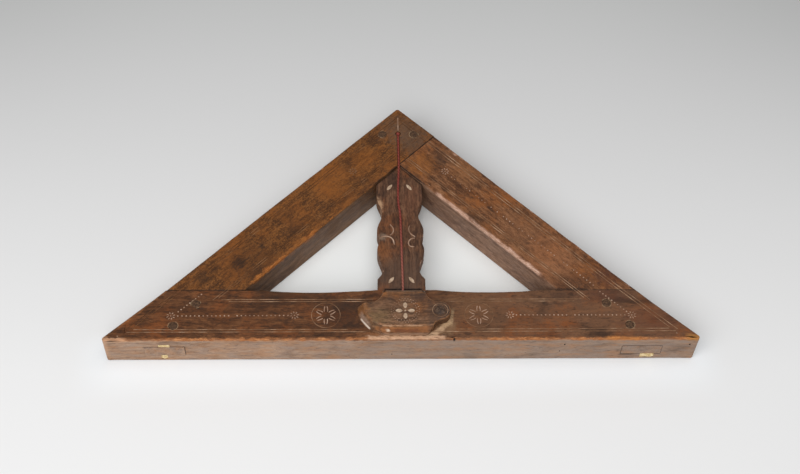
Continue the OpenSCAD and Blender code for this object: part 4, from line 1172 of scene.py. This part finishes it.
def split_slip(node, seed):
    """A sliver of pale wood with a torn end."""
    slip = blank_of(node, node + "_sliver", "frame", "slip_wood", slip_wood)
    bpy.context.tool_settings.mesh_select_mode = (True, False, False)
    enter("EDIT")
    bpy.ops.mesh.select_all(action="SELECT")
    bpy.ops.mesh.subdivide(number_cuts=4)
    bpy.ops.transform.vertex_random(offset=0.00035, seed=seed)
    enter("OBJECT")
    low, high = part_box(node)
    middle = (low + high) / 2
    for corner in slip.data.vertices:
        end = (corner.co.x - low.x) / (high.x - low.x)
        taper = 0.55 + 0.5 * math.sin(math.pi * (0.12 + 0.7 * end)) + 0.16 * math.sin(19 * end + seed)
        corner.co.z = middle.z + (corner.co.z - middle.z) * min(1.0, taper)
        corner.co = Vector([min(max(corner.co[i], low[i]), high[i]) for i in range(3)])
    even_shading(slip, 40)
    return slip


split_slip("left_slip_front", 3)
split_slip("left_slip_back", 4)
split_slip("right_slip_back", 5)

pivot = blank_of("cover_pivot", "cover_pivot_polished", "frame", "pivot_wood", pivot_polish)
even_shading(pivot, 35)
bob = blank_of("plumb_bob", "plumb_bob_cast", "plumb", "bob_metal", bob_metal)
even_shading(bob, 25)


def tied_knot():
    """The knot at the cord's upper end: three turns of the cord pulled tight."""
    low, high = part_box("cord_knot")
    centre = (low + high) / 2
    turns = []
    for tilt, lean, shift in ((0.5, 0.3, 0.45), (-0.55, -0.25, -0.45), (1.35, 0.9, 0.0)):
        bpy.ops.mesh.primitive_torus_add(major_segments=32, minor_segments=12, major_radius=0.0009,
            minor_radius=0.0007, location=centre + Vector((0, shift / 1000, 0)),
            rotation=(math.pi / 2 + tilt, lean, 0))
        turns.append(bpy.context.object)
    knot = joined(turns, "cord_knot_tied")
    knot.data.materials.append(faded_cord)
    even_shading(knot, 60)
    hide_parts("cord_knot")
    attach(knot, "frame")
    return knot


tied_knot()

# ---- floor and light


def pale_floor():
    bpy.ops.mesh.primitive_plane_add(size=6, location=(0, 0, -0.0002))
    floor = bpy.context.object
    floor.name = "pale_floor"
    finish, tree, shader = new_finish("floor_paper")
    place = place_in_mm(tree)[0]
    depth = put(tree, "SeparateXYZ", {0: place}).outputs["Y"]
    # Painted shade: the floor darkens towards the back and towards the far corners, standing for the light's falloff.
    shade = shades(tree, put(tree, "MapRange", {"Value": depth, "From Min": -170.0, "From Max": 470.0}).outputs[0],
        [(0.0, tint(237, 237, 237)), (0.25, tint(235, 235, 235)), (0.5, tint(224, 224, 224)),
            (0.75, tint(211, 211, 211)), (1.0, tint(194, 195, 194))])
    off_axis = sums(tree, "ABSOLUTE", put(tree, "SeparateXYZ", {0: place}).outputs["X"])
    corner = times(tree, between(tree, off_axis, 120.0, 620.0), between(tree, depth, 120.0, 480.0, 0.0, 0.3))
    shade = mixed(tree, corner, shade, tint(128, 129, 128))
    # Painted light: paler, bluish patches inside the frame's openings and along the sole's foot lift the shadows that
    # fall there.
    painted_light_in_openings = times(tree, between(tree, plus(tree, off_axis, depth), 205.0, 190.0),
        between(tree, depth, 15.0, 30.0))
    painted_light_at_foot = times(tree, between(tree, depth, -45.0, -4.0), between(tree, depth, 30.0, 10.0))
    painted_light_at_foot = times(tree, painted_light_at_foot, between(tree, off_axis, 275.0, 225.0))
    shade = mixed(tree, times(tree, painted_light_in_openings, 0.75), shade, tint(246, 249, 248))
    shade = mixed(tree, times(tree, painted_light_at_foot, 0.7), shade, tint(245, 250, 254))
    tree.links.new(shade, shader.inputs["Base Color"])
    shader.inputs["Roughness"].default_value = 0.9
    shader.inputs["Specular IOR Level"].default_value = 0.0
    floor.data.materials.append(finish)


def soft_box(name, location, size, power):
    lamp_data = bpy.data.lights.new(name, "AREA")
    lamp_data.shape = "RECTANGLE"
    lamp_data.size, lamp_data.size_y = size
    lamp_data.energy = power
    lamp = bpy.data.objects.new(name, lamp_data)
    lamp.location = location
    lamp.rotation_euler = (-Vector(location)).to_track_quat("-Z", "Y").to_euler()
    bpy.context.scene.collection.objects.link(lamp)


pale_floor()
soft_box("front_box", (-0.7, -1.3, 1.7), (2.2, 1.6), 37)
soft_box("overhead_box", (0.3, -0.1, 2.2), (1.8, 1.4), 14)
room = bpy.data.worlds.new("soft_room")
bpy.context.scene.world = room
room.use_nodes = True
ray = put(room.node_tree, "LightPath").outputs
seen = sums(room.node_tree, "MAXIMUM", ray["Is Camera Ray"], ray["Is Glossy Ray"])
seen = sums(room.node_tree, "MAXIMUM", seen, ray["Is Transmission Ray"])
strength = put(room.node_tree, "MapRange", {"Value": seen, "To Min": 0.265, "To Max": 0.6}).outputs[0]
room.node_tree.links.new(strength, room.node_tree.nodes["Background"].inputs["Strength"])
room.node_tree.nodes["Background"].inputs["Color"].default_value = (1, 1, 1, 1)

bpy.context.scene.view_settings.view_transform = "Standard"
